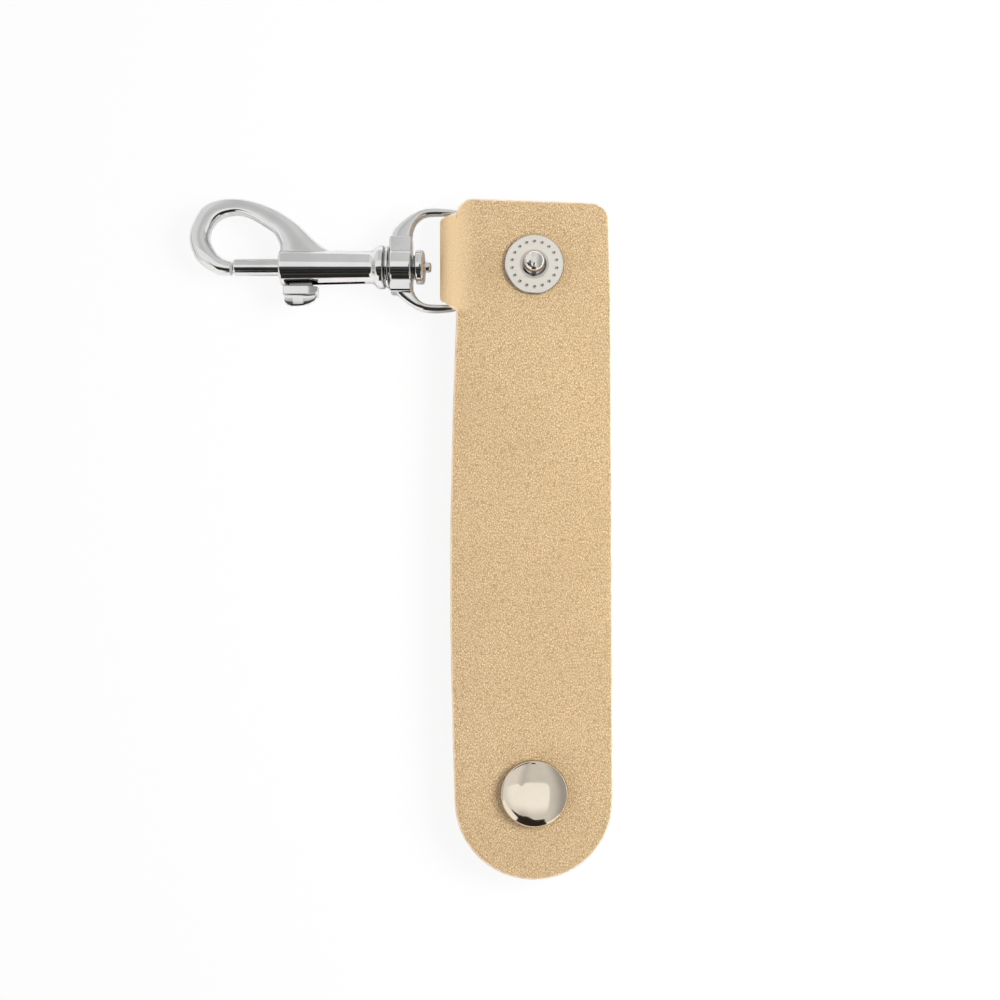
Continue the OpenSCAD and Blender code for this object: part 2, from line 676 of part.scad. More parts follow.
strap_head();
strap_length(1);  // strap_length_1
strap_length(2);  // strap_length_2
strap_length(3);  // strap_length_3
strap_length(4);  // strap_length_4
strap_length(5);  // strap_length_5
strap_end();
stud();
stud_post();
cap_shell();
cap_post();
socket_body();
socket_spring();
swivel_eye();
swivel_rivet();
hook_body();
latch_bolt();
thumb_knob();
latch_spring();
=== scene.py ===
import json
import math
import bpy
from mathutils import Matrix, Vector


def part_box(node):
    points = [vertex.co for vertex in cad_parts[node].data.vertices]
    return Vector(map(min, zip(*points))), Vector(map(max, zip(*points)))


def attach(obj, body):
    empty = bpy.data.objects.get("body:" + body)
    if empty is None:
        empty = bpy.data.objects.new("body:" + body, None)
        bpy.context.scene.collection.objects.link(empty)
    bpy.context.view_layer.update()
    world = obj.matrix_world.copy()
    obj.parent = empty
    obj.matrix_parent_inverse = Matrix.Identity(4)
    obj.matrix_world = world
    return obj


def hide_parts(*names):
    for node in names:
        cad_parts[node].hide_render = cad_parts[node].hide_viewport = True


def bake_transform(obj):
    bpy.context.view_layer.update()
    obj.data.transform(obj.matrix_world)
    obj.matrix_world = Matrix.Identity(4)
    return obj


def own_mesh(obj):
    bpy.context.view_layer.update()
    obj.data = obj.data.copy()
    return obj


bl_info = {
    "name": "Leather Key Strap",
    "version": (1, 0, 0),
    "blender": (4, 5, 0),
    "location": "View3D > Sidebar > Key Strap",
    "description": "Leather, plated metal and studio for a key strap with a swivel hook",
    "category": "Object",
}

import bmesh
import bpy
import numpy as np
from bpy.props import FloatProperty, FloatVectorProperty, IntProperty, PointerProperty
from bpy.types import Operator, Panel, PropertyGroup
from mathutils import Vector, noise

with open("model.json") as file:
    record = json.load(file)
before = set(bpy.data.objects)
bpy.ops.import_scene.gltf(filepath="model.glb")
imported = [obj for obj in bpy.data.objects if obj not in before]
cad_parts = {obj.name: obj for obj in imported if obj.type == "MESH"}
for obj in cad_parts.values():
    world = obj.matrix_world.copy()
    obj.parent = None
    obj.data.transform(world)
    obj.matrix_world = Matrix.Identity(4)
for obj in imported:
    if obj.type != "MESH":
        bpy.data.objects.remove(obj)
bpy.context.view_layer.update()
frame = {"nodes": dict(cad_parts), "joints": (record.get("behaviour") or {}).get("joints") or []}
JOINTS = {joint["name"]: joint for joint in frame["joints"]}

MM = 0.001
UP = Vector((0, 0, 1))
RIGHT = Vector((1, 0, 0))
FORWARD = Vector((0, 1, 0))
STRAP_BODIES = ["head", *(f"strap_{k}" for k in range(1, 6)), "tail"]
STRAP_HINGES = ["strap_curl", *(f"strap_curl_{k}" for k in range(2, 6)), "strap_close"]


def middle(node):
    """Middle of a CAD node's box."""
    low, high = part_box(node)
    return (low + high) / 2


def joint_place(name):
    """A point on a joint's axis."""
    return Vector(JOINTS[name]["pos_m"])


def at_height(place, z):
    """A place moved to a height."""
    return Vector((place.x, place.y, z))


BAR = joint_place("ring_tilt")
STUD = middle("stud")
CAP = middle("cap_shell")
FLANGE_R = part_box("stud")[1].x - STUD.x
HINGE_Y = [joint_place(name).y for name in STRAP_HINGES]
BACK_Z = joint_place("strap_curl").z
FRONT_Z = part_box("strap_length_3")[1].z
LEATHER_T = FRONT_Z - BACK_Z


# Sizes and colours that a user can change


def setting(kind, name, description, value, **more):
    return kind(name=name, description=description, default=value, **more)


def length(name, description, millimetres):
    return setting(FloatProperty, name, description, millimetres * MM, unit="LENGTH")


def colour(name, description, value):
    return setting(FloatVectorProperty, name, description, value, subtype="COLOR")


class StrapSettings(PropertyGroup):
    """Shape and finish of the leather"""

    front: colour("Grain side", "Colour of the leather's front", (0.775, 0.58, 0.328))
    # The pits colour is also the dark of the painted shade left of the stud
    pits_and_shade: colour("Pits", "Colour between the grain's pebbles", (0.42, 0.265, 0.12))
    tips: colour("Tips", "Colour of the highest pebbles", (1.0, 0.80, 0.53))
    edge: colour("Cut edge", "Colour of the cut edges", (0.97, 0.82, 0.65))
    flesh: colour("Flesh side", "Colour of the leather's back", (0.66, 0.49, 0.31))
    grain: length("Grain", "Width of one pebble of the grain", 0.4)
    edge_width: length("Edge width", "How far in the front rolls down to the cut edge", 0.5)
    edge_drop: length("Edge drop", "How far the front rolls down at the cut edge", 0.28)
    wave: length("Wave", "Height of the soft unevenness of the leather", 0.05)
    corner: length("Corner", "Radius of the head's corners", 3.2)
    slope: length("Slope", "Fall of the head's top edge from left to right", 1)
    tab_width: length("Tab width", "Width of the tab at its fold", 14.9)
    root_width: length("Root width", "Width of the tab where it leaves the strap", 18)
    root_drop: length("Root drop", "How far the root lies below the middle of the fold", 0.75)
    tab_reach: length("Tab reach", "How far the folded tab runs past the stud's axis", 7.5)
    tab_slope: length("Tab slope", "Length over which the folded tab comes up against the head", 8)
    bow: length("Bow", "Outward bow of the left edge", 0.95)
    lean: length("Lean", "How far the head's right edge leans in at its top", 0.45)


class SnapSettings(PropertyGroup):
    """Shape and finish of the snap fastener"""

    stud_metal: colour("Stud", "Colour of the stud's plating", (0.98, 0.955, 0.91))
    cap_metal: colour("Cap", "Colour of the cap's plating", (0.89, 0.79, 0.655))
    inner_metal: colour("Inner pieces", "Colour of the socket and the eyelets", (0.72, 0.71, 0.69))
    dimples: setting(IntProperty, "Dimples", "Number of dimples in the stud's flange", 18)
    dimple_circle: length("Dimple circle", "Radius of the circle of dimples", 4.15)
    dimple_radius: length("Dimple radius", "Radius of one dimple", 0.27)
    dimple_depth: length("Dimple depth", "Depth of one dimple", 0.13)
    flange_height: length("Flange height", "Height of the stud's flange above the leather", 0.6)
    foot_radius: length("Foot radius", "Radius of the foot of the stud's knob", 2.5)
    ball_radius: length("Ball radius", "Radius of the stud's ball", 1.95)


class HookSettings(PropertyGroup):
    """Shape and finish of the swivel hook"""

    chrome: colour("Chrome", "Colour of the hook's plating", (0.86, 0.86, 0.855))
    wire: colour("Spring wire", "Colour of the latch spring", (0.62, 0.62, 0.61))
    reach: length("Reach", "Distance from the barrel's front to the far side of the hook", 16.9)
    rise: length("Rise", "Height of the hook's outer side above the barrel's axis", 12.65)
    thickness: length("Thickness", "Thickness of the hook's wire", 3.2)
    barrel_front: length("Barrel front", "Radius of the barrel at its front", 3.3)
    barrel_rear: length("Barrel rear", "Radius of the barrel before its collar", 2.9)
    collar: length("Collar", "Radius of the collar", 3.95)
    bolt: length("Bolt", "Radius of the latch bolt", 1.5)
    ring_wire: length("Ring wire", "Width of the ring's wire", 1.5)
    ring_thickness: length("Ring thickness", "Thickness of the ring's wire", 2.3)
    ring_play: length("Ring play", "Gap between the tab's edge and the ring", 0.8)
    boss_length: length("Boss length", "Length of the boss", 4.1)
    boss_radius: length("Boss radius", "Radius of the boss", 3.4)
    shoulder_width: length("Shoulder width", "Width of the boss's flat shoulders", 10.3)
    shoulder_thickness: length("Shoulder thickness", "Thickness of the boss's flat shoulders", 4)
    knob_chamfer: length("Knob chamfer", "Length of the chamfers at the knob's rear end", 1.7)
    curls: setting(IntProperty, "Curls", "Number of curls of the latch spring", 5)
    spring_wire: length("Spring wire radius", "Radius of the latch spring's wire", 0.14)


class StageSettings(PropertyGroup):
    """Camera, floor and light"""

    camera: setting(
        FloatVectorProperty, "Camera", "Place of the camera from the stud's axis and the ground",
        (-0.03 * MM, -57.625 * MM, 226.7 * MM), subtype="TRANSLATION", unit="LENGTH"
    )
    lens: setting(FloatProperty, "Lens", "Focal length", 43.06, unit="CAMERA")
    shift: setting(
        FloatVectorProperty, "Shift", "Sideways and upward shift of the picture",
        (-0.0342, 0.078), size=2
    )
    floor: colour("Floor", "Colour of the floor", (0.96, 0.96, 0.96))
    studio: setting(FloatProperty, "Studio light", "Strength of the soft light all round", 0.46)
    lamp: setting(FloatProperty, "Lamp", "Power of the soft lamp", 0.9, unit="POWER")


# Shader nodes written as Python sums


class Sum:
    """A number that varies over a surface. Python sums on it add Math nodes."""

    def __init__(self, nodes, socket):
        self.nodes = nodes
        self.socket = socket

    def math(self, operation, *terms):
        return self.nodes.node("ShaderNodeMath", {"operation": operation}, dict(enumerate(terms)))

    def __add__(self, other):
        return self.math("ADD", self, other)

    def __sub__(self, other):
        return self.math("SUBTRACT", self, other)

    def __rsub__(self, other):
        return self.math("SUBTRACT", other, self)

    def __mul__(self, other):
        return self.math("MULTIPLY", self, other)

    def __pow__(self, other):
        return self.math("POWER", self, other)

    def above(self, low, high):
        """0 below low, 1 above high, and smooth between them."""
        settings = {"interpolation_type": "SMOOTHSTEP"}
        return self.nodes.node("ShaderNodeMapRange", settings, {"Value": self, 1: low, 2: high})

    __radd__ = __add__
    __rmul__ = __mul__


class Nodes:
    """A node tree to which nodes are added in one call each."""

    def __init__(self, tree):
        self.tree = tree

    def node(self, kind, settings=None, inputs=None, output=0):
        """Adds a node, makes its settings, then gives its sockets values or links."""
        made = self.tree.nodes.new(kind)
        for key, value in (settings or {}).items():
            setattr(made, key, value)
        for key, value in (inputs or {}).items():
            self.join(value, made.inputs[key])
        if made.outputs:
            return Sum(self, made.outputs[output])

    def join(self, value, socket):
        if isinstance(value, Sum):
            self.tree.links.new(value.socket, socket)
        else:
            socket.default_value = value

    def mix(self, share, first, second):
        """A colour between two colours."""
        inputs = {0: share, 6: opaque(first), 7: opaque(second)}
        return self.node("ShaderNodeMix", {"data_type": "RGBA"}, inputs, 2)

    def noise(self, place, size, detail=2.0, stretch=None, output=0):
        """Soft noise whose features are about size across."""
        if stretch:
            place = self.vector("MULTIPLY", {0: place, 1: stretch})
        inputs = {"Vector": place, "Scale": 1 / size, "Detail": detail}
        return self.node("ShaderNodeTexNoise", {}, inputs, output)

    def vector(self, operation, inputs):
        return self.node("ShaderNodeVectorMath", {"operation": operation}, inputs)

    def stored(self, name, output="Fac"):
        """A value that the mesh keeps on its points."""
        return self.node("ShaderNodeAttribute", {"attribute_name": name}, output=output)

    def split(self, place):
        """The three parts of a place or a direction."""
        return [self.node("ShaderNodeSeparateXYZ", {}, {0: place}, k) for k in range(3)]

    def place(self, kind="Object"):
        """Where a point lies, in its piece's own frame."""
        return self.node("ShaderNodeTexCoord", output=kind)

    def light_path(self, ray):
        """1 for one kind of ray, and 0 for the rest."""
        return self.node("ShaderNodeLightPath", output=ray)


def opaque(value):
    return value if isinstance(value, Sum) else (*value, 1)


def shade(value, share):
    """A colour made darker or lighter."""
    return tuple(share * c for c in value)


class Finish(Nodes):
    """A material on one Principled shader."""

    def __init__(self, name):
        self.material = bpy.data.materials.new(name)
        self.material.use_nodes = True
        super().__init__(self.material.node_tree)
        self.shader = self.tree.nodes["Principled BSDF"]

    def put(self, **sockets):
        """Feeds the shader's sockets, whose names are written with _ for each space."""
        for name, value in sockets.items():
            socket = self.shader.inputs[name.replace("_", " ")]
            self.join(opaque(value) if socket.type == "RGBA" else value, socket)

    def bump(self, height, distance, strength=1.0):
        """Feeds the shader's normal from a height."""
        inputs = {"Height": height, "Distance": distance, "Strength": strength}
        self.join(self.node("ShaderNodeBump", {}, inputs), self.shader.inputs["Normal"])


def leather_finish(strap):
    """Pebbled leather. Its grain lies in the flat pattern, so it bends with the strap."""
    finish = Finish("pebbled_leather")
    place = finish.stored("pattern", "Vector")
    flesh = finish.stored("flesh_side")
    wander = finish.noise(place, strap.grain / 0.6, output="Color")
    drift = finish.vector("SCALE", {0: wander, "Scale": 0.7 * strap.grain})
    longer = finish.vector("MULTIPLY", {0: place, 1: (1.25, 0.8, 1.0)})
    warped = finish.vector("ADD", {0: longer, 1: drift})
    cells = {"Vector": warped, "Scale": 1 / strap.grain}
    cell = finish.node("ShaderNodeTexVoronoi", {"feature": "DISTANCE_TO_EDGE"}, cells)
    pebble = cell.above(0.0, 0.16)
    fine = finish.noise(longer, 0.62 * strap.grain, 1.0)
    mottle = finish.noise(place, 4 * strap.grain)
    cloud = finish.noise(place, 22 * MM)

    # Front, with worn tips and dark pits
    worn = finish.mix((1 - pebble) * 0.8, strap.front, strap.pits_and_shade)
    speckled = finish.mix(pebble * fine.above(0.52, 0.64) * 0.7, worn, strap.tips)
    pitted = finish.mix(fine.above(0.47, 0.36) * 0.6, speckled, strap.pits_and_shade)
    patches = mottle.above(0.35, 0.7) * 0.05 + cloud.above(0.3, 0.7) * 0.1
    mottled = finish.mix(patches, pitted, strap.pits_and_shade)

    # Painted shade left of the stud. Smoother colour and grain where the tab is stretched round
    # the bar, with painted light on the fold's left side
    across, along = finish.split(place)[:2]
    # Painted shade: darker within about 7 mm of a point left of the stud
    from_stud_shade_centre = ((across - (STUD.x - 8 * MM)) ** 2 + (along - (STUD.y - 0.5 * MM)) ** 2) ** 0.5
    shaded_by_stud = finish.mix(from_stud_shade_centre.above(7 * MM, 1 * MM) * 0.13, mottled, strap.pits_and_shade)
    # Over the tab's fold the colour and grain are smoother, and the fold's left side gets painted
    # light, 1.27 times the front's colour
    root = root_low_y(strap)
    smooth_and_lit_fold = across.above(BAR.x + 5 * MM, BAR.x) * along.above(root - 0.5 * MM, root + 0.5 * MM)
    painted_fold_light = across.above(BAR.x + 0.1 * MM, BAR.x - 1.6 * MM)
    pale = finish.mix(painted_fold_light, strap.front, shade(strap.front, 1.27))
    front = finish.mix(smooth_and_lit_fold * 0.8, shaded_by_stud, pale)

    # Back and cut edges
    fibres = finish.noise(place, 0.4 * MM, 4.0)
    suede = finish.mix(fibres.above(0.35, 0.65) * 0.35, strap.flesh, strap.pits_and_shade)
    layers = finish.noise(place, 0.9 * MM, 3.0, (1.0, 0.4, 3.0))
    cut = finish.mix(layers.above(0.4, 0.65) * 0.3, strap.edge, strap.flesh)
    to_edge = finish.stored("edge_distance") + (mottle - 0.5) * (0.25 * MM)
    strip = to_edge.above(0.4 * MM, 0.24 * MM)
    finish.put(
        Base_Color=finish.mix(strip, finish.mix(flesh, front, suede), cut),
        Roughness=0.5 + 0.12 * fine + 0.3 * flesh,
        Specular_IOR_Level=0.38,
    )
    grain = (pebble * 0.7 + fine * 0.5) * (1 - flesh) * (1 - 0.6 * smooth_and_lit_fold)
    finish.bump(grain + fibres * flesh, 0.1 * MM, 0.9)
    return finish.material


def plated_finish(name, metal, roughness, unevenness):
    """Bright plating with faint handling marks and a slightly uneven ground, darkened by painted
    shade stored on its points.
    """
    finish = Finish(name)
    place = finish.place()
    cloud = finish.noise(place, 5 * MM)
    marks = finish.noise(place, 0.5 * MM, 3.0, (0.25, 1.0, 1.0))
    ground = finish.noise(place, 2.2 * MM)
    clouded = finish.mix(cloud.above(0.35, 0.75) * 0.24, metal, shade(metal, 0.72))
    finish.put(
        # Painted shade: darker towards a fifth of the metal's colour where the points store it
        Base_Color=finish.mix(finish.stored("dull"), clouded, shade(metal, 0.2)),
        Metallic=1.0,
        Roughness=roughness + roughness * 0.8 * marks.above(0.5, 0.75),
    )
    finish.bump(ground + 0.02 * marks, unevenness)
    return finish.material


# Mesh helpers


def mesh_piece(name, shape, material, tidied=True):
    """An object with a shape's points and faces, smooth shaded and turned outward."""
    points, faces = shape
    mesh = bpy.data.meshes.new(name)
    mesh.from_pydata([tuple(p) for p in points], [], faces)
    piece = bpy.data.objects.new(name, mesh)
    bpy.context.scene.collection.objects.link(piece)
    mesh.materials.append(material)
    if tidied:
        tidy_mesh(mesh)
    return piece


def tidy_mesh(mesh):
    """Welds doubled points, turns the faces outward and shades them smooth."""
    work = bmesh.new()
    work.from_mesh(mesh)
    bmesh.ops.remove_doubles(work, verts=work.verts, dist=0.002 * MM)
    bmesh.ops.recalc_face_normals(work, faces=work.faces)
    for face in work.faces:
        face.smooth = True
    work.to_mesh(mesh)
    work.free()


def skin(loops, closed_path=False):
    """Points and faces of a skin over closed loops of points, with a face over each end."""
    count = len(loops[0])
    points = [p for loop in loops for p in loop]
    rows = len(loops)
    last = rows if closed_path else rows - 1
    faces = [
        (here + k, here + (k + 1) % count, after + (k + 1) % count, after + k)
        for here, after in ((i * count, (i + 1) % rows * count) for i in range(last))
        for k in range(count)
    ]
    if not closed_path:
        end = (rows - 1) * count
        faces += [tuple(range(count)), tuple(end + k for k in reversed(range(count)))]
    return points, faces


def rounded(profile, steps=4):
    """An outline with each corner rounded. A point is (along, out, radius of its round in mm)."""
    made = []
    last = len(profile) - 1
    for i, (along, out, millimetres) in enumerate(profile):
        here = Vector((along, out))
        radius = millimetres * MM
        if radius == 0 or i in (0, last):
            made.append(here)
            continue
        before = Vector(profile[i - 1][:2]) - here
        after = Vector(profile[i + 1][:2]) - here
        start = here + before.normalized() * min(radius, before.length / 2)
        end = here + after.normalized() * min(radius, after.length / 2)
        for k in range(steps + 1):
            t = k / steps
            made.append(start * (1 - t) ** 2 + here * 2 * t * (1 - t) + end * t ** 2)
    return made


def turned(profile, origin, axis, around=96, closed=False):
    """Shape of a piece turned about an axis. A profile's point is (along the axis, radius)."""
    side = axis.orthogonal().normalized()
    other = axis.cross(side)
    rows = []
    for along, radius in profile:
        rows.append([
            origin + axis * along + (side * math.cos(a) + other * math.sin(a)) * radius
            for a in (2 * math.pi * k / around for k in range(around))
        ])
    return skin(rows, closed)


def turned_piece(name, profile, start, material, axis=RIGHT, around=96):
    """A piece turned about a line along X, or about another axis."""
    return mesh_piece(name, turned(profile, start, axis, around), material)


def even_shading(piece, degrees=None):
    """Keeps flat faces flat beside their small rounds, and edges over an angle crisp."""
    if degrees:
        sharp_from_angle(piece, degrees)
    shading = piece.modifiers.new("even_shading", "WEIGHTED_NORMAL")
    shading.keep_sharp = True
    return piece


def apply_modifiers(piece):
    """Turns a piece's modifiers into its mesh."""
    graph = bpy.context.evaluated_depsgraph_get()
    made = bpy.data.meshes.new_from_object(piece.evaluated_get(graph))
    piece.modifiers.clear()
    piece.data = made


def combine(piece, tool, operation):
    """Unites a piece with a tool or cuts the tool out of it, and removes the tool."""
    cutter = piece.modifiers.new("combine", "BOOLEAN")
    cutter.operation = operation
    cutter.solver = "EXACT"
    cutter.object = tool
    apply_modifiers(piece)
    bpy.data.objects.remove(tool)


def sharp_from_angle(piece, degrees):
    """Keeps edges crisp where the surface turns by more than an angle."""
    for face in piece.data.polygons:
        face.use_smooth = True
    piece.data.set_sharp_from_angle(angle=math.radians(degrees))


def curve_through(stations, steps):
    """A smooth run of stations through the given ones."""
    s = np.array(stations, float)
    made = []
    for i in range(len(s) - 1):
        a, b, c, d = s[max(i - 1, 0)], s[i], s[i + 1], s[min(i + 2, len(s) - 1)]
        for k in range(steps):
            t = k / steps
            bend = (2 * a - 5 * b + 4 * c - d) * t ** 2 + (3 * b - a - 3 * c + d) * t ** 3
            made.append(0.5 * (2 * b + (c - a) * t + bend))
    made.append(s[-1])
    return made


def soft_power(value, power):
    return math.copysign(abs(value) ** power, value)


def lofted(stations, origin, steps, sides):
    """Shape of a bar between two rails.

    A station is (outer x, outer y, inner x, inner y, half thickness, squareness).
    """
    loops = []
    for outer_x, outer_y, inner_x, inner_y, half, squareness in curve_through(stations, steps):
        loop = []
        for k in range(sides):
            a = 2 * math.pi * k / sides
            u = soft_power(math.cos(a), squareness)
            loop.append(origin + Vector((
                (outer_x + inner_x + u * (outer_x - inner_x)) / 2,
                (outer_y + inner_y + u * (outer_y - inner_y)) / 2,
                half * soft_power(math.sin(a), squareness),
            )))
        loops.append(loop)
    return skin(loops)


def seat(piece, body, node):
    """Puts a piece on its body and hides the CAD node it stands for."""
    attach(piece, body)
    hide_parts(node)


# Leather

BAR_OUT = 0.5 * MM
HEAD_LEFT = BAR.x + BAR_OUT
STRAP_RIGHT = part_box("strap_head")[1].x
STRAP_W = STRAP_RIGHT - HEAD_LEFT
STRAP_MID = (HEAD_LEFT + STRAP_RIGHT) / 2
HEAD_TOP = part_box("strap_head")[1].y
TAIL_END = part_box("strap_end")[0].y
TAIL_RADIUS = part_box("strap_end")[1].x - STRAP_MID
TAIL_GROWTH = TAIL_RADIUS - STRAP_W / 2
MID_Z = BACK_Z + LEATHER_T / 2
FOLD_R = MID_Z - BAR.z
ROW = 0.8 * MM

# Distances from a cut edge at which the leather has points
NEAR_EDGE = [d * MM for d in (0, 0.05, 0.12, 0.22, 0.35, 0.52, 0.9)]


def share_of(t):
    return max(0.0, min(1.0, t))


def smooth(t):
    t = share_of(t)
    return t * t * (3 - 2 * t)


def down_strap(y):
    """0 at the first hinge line, and 1 where the tail's round begins."""
    return share_of((HINGE_Y[0] - y) / (HINGE_Y[0] - TAIL_END - TAIL_RADIUS))


def edge_wander(y, side):
    """Faint unevenness of a cut edge."""
    height = 0.07 * MM
    width = 7 * MM
    return height * noise.noise(Vector((side * 9.0, y / width, 3.0))) * smooth(4 * down_strap(y))


def left_edge(y, strap):
    share = down_strap(y)
    bow = strap.bow * math.sin(math.pi * share)
    return HEAD_LEFT - TAIL_GROWTH * share - bow + edge_wander(y, -1)


def right_edge(y):
    growth = TAIL_GROWTH * math.sin(math.pi / 2 * down_strap(y))
    return STRAP_RIGHT + growth + edge_wander(y, 1)


def surface_wave(x, y, strap):
    """Height of the soft unevenness, with the leather drawn in a little round the two snaps."""
    width = 9 * MM
    dent = 0.1 * MM
    dent_width = 1.6 * MM
    wave = strap.wave * noise.noise(Vector((x, y, 0)) / width)
    for snap, radius in ((STUD, 5.6 * MM), (CAP, 6.3 * MM)):
        away = (Vector((x, y)) - snap.xy).length - radius
        wave -= dent * math.exp(-(away / dent_width) ** 2)
    return wave


def places_across(low, high, count):
    """Places across the leather, closer together near its two edges."""
    inset = min(NEAR_EDGE[-1], (high - low) / 3)
    near = [min(d, inset * 0.9) for d in NEAR_EDGE[:-1]]
    inner = np.linspace(low + inset, high - inset, count)
    return [low + d for d in near] + list(inner) + [high - d for d in reversed(near)]


class LeatherMesh:
    """Collects sections of the leather, with where each point lies in the flat pattern."""

    def __init__(self, strap):
        self.strap = strap
        self.loops = []
        self.patterns = []
        self.edges = []
        self.flesh = []

    def front_depth(self, to_edge):
        """How far the front has rolled down at a distance from the cut edge."""
        t = 1 - min(1.0, max(0.0, to_edge) / self.strap.edge_width)
        return self.strap.edge_drop * (1 - math.sqrt(1 - t * t))

    def add(self, across, to_edge, place, pattern, open_side=False):
        """Adds one section.

        A point at a across it lies to_edge(a) from the cut edge, at place(a, depth) in space and
        at pattern(a) in the flat pattern.
        """
        half = LEATHER_T / 2
        middle_of_cut = -0.1 * MM
        back_roll = 0.4
        rows = [(a, half - self.front_depth(to_edge(a)), to_edge(a), 0.0) for a in across]
        rows.append((across[-1], middle_of_cut, 0.0, 0.0))
        for a in reversed(across):
            rows.append((a, back_roll * self.front_depth(to_edge(a)) - half, to_edge(a), 1.0))
        if not open_side:
            rows.append((across[0], middle_of_cut, 0.0, 0.0))
        loop = []
        for a, depth, edge, flesh in rows:
            loop.append(place(a, depth))
            self.patterns.append((*pattern(a), depth))
            self.edges.append(edge)
            self.flesh.append(flesh)
        self.loops.append(loop)

    def make(self, name, material, faces=None):
        """Builds the piece and stores the flat pattern on its points."""
        points, closed_faces = skin(self.loops)
        piece = mesh_piece(name, (points, faces or closed_faces), material, tidied=False)
        mesh = piece.data
        for label, kind, key, values in (
            ("pattern", "FLOAT_VECTOR", "vector", self.patterns),
            ("edge_distance", "FLOAT", "value", self.edges),
            ("flesh_side", "FLOAT", "value", self.flesh),
        ):
            attribute = mesh.attributes.new(label, kind, "POINT")
            attribute.data.foreach_set(key, np.array(values, np.float32).ravel())
        tidy_mesh(mesh)
        sharp_from_angle(piece, 50)
        return piece


def strap_band(name, top, bottom, strap, material):
    """A stretch of the strap between two heights, with square ends that meet the next stretch."""
    mesh = LeatherMesh(strap)
    rows = max(2, round((top - bottom) / ROW))
    for y in np.linspace(top, bottom, rows + 1):
        low, high = left_edge(y, strap), right_edge(y)
        across = places_across(low, high, 30)
        mesh.add(
            across,
            lambda a: min(a - low, high - a),
            lambda a, depth: Vector((a, y, MID_Z + depth + surface_wave(a, y, strap))),
            lambda a: (a, y),
        )
    return mesh.make(name, material)


def tab_sides(x, strap):
    """The tab's low and high edge at x, between its fold and where it leaves the strap."""
    fold_x = BAR.x - FOLD_R
    t = share_of((x - fold_x) / (HEAD_LEFT - fold_x))
    half = strap.tab_width / 2
    flare = strap.root_width / 2 - half
    low = BAR.y - half - (flare + strap.root_drop) * (1 - (1 - t) ** 1.4)
    high = BAR.y + half + (flare - strap.root_drop) * t ** 1.2
    return low, high


def root_low_y(strap):
    """Where the tab's low edge meets the strap's left edge."""
    return tab_sides(HEAD_LEFT, strap)[0]


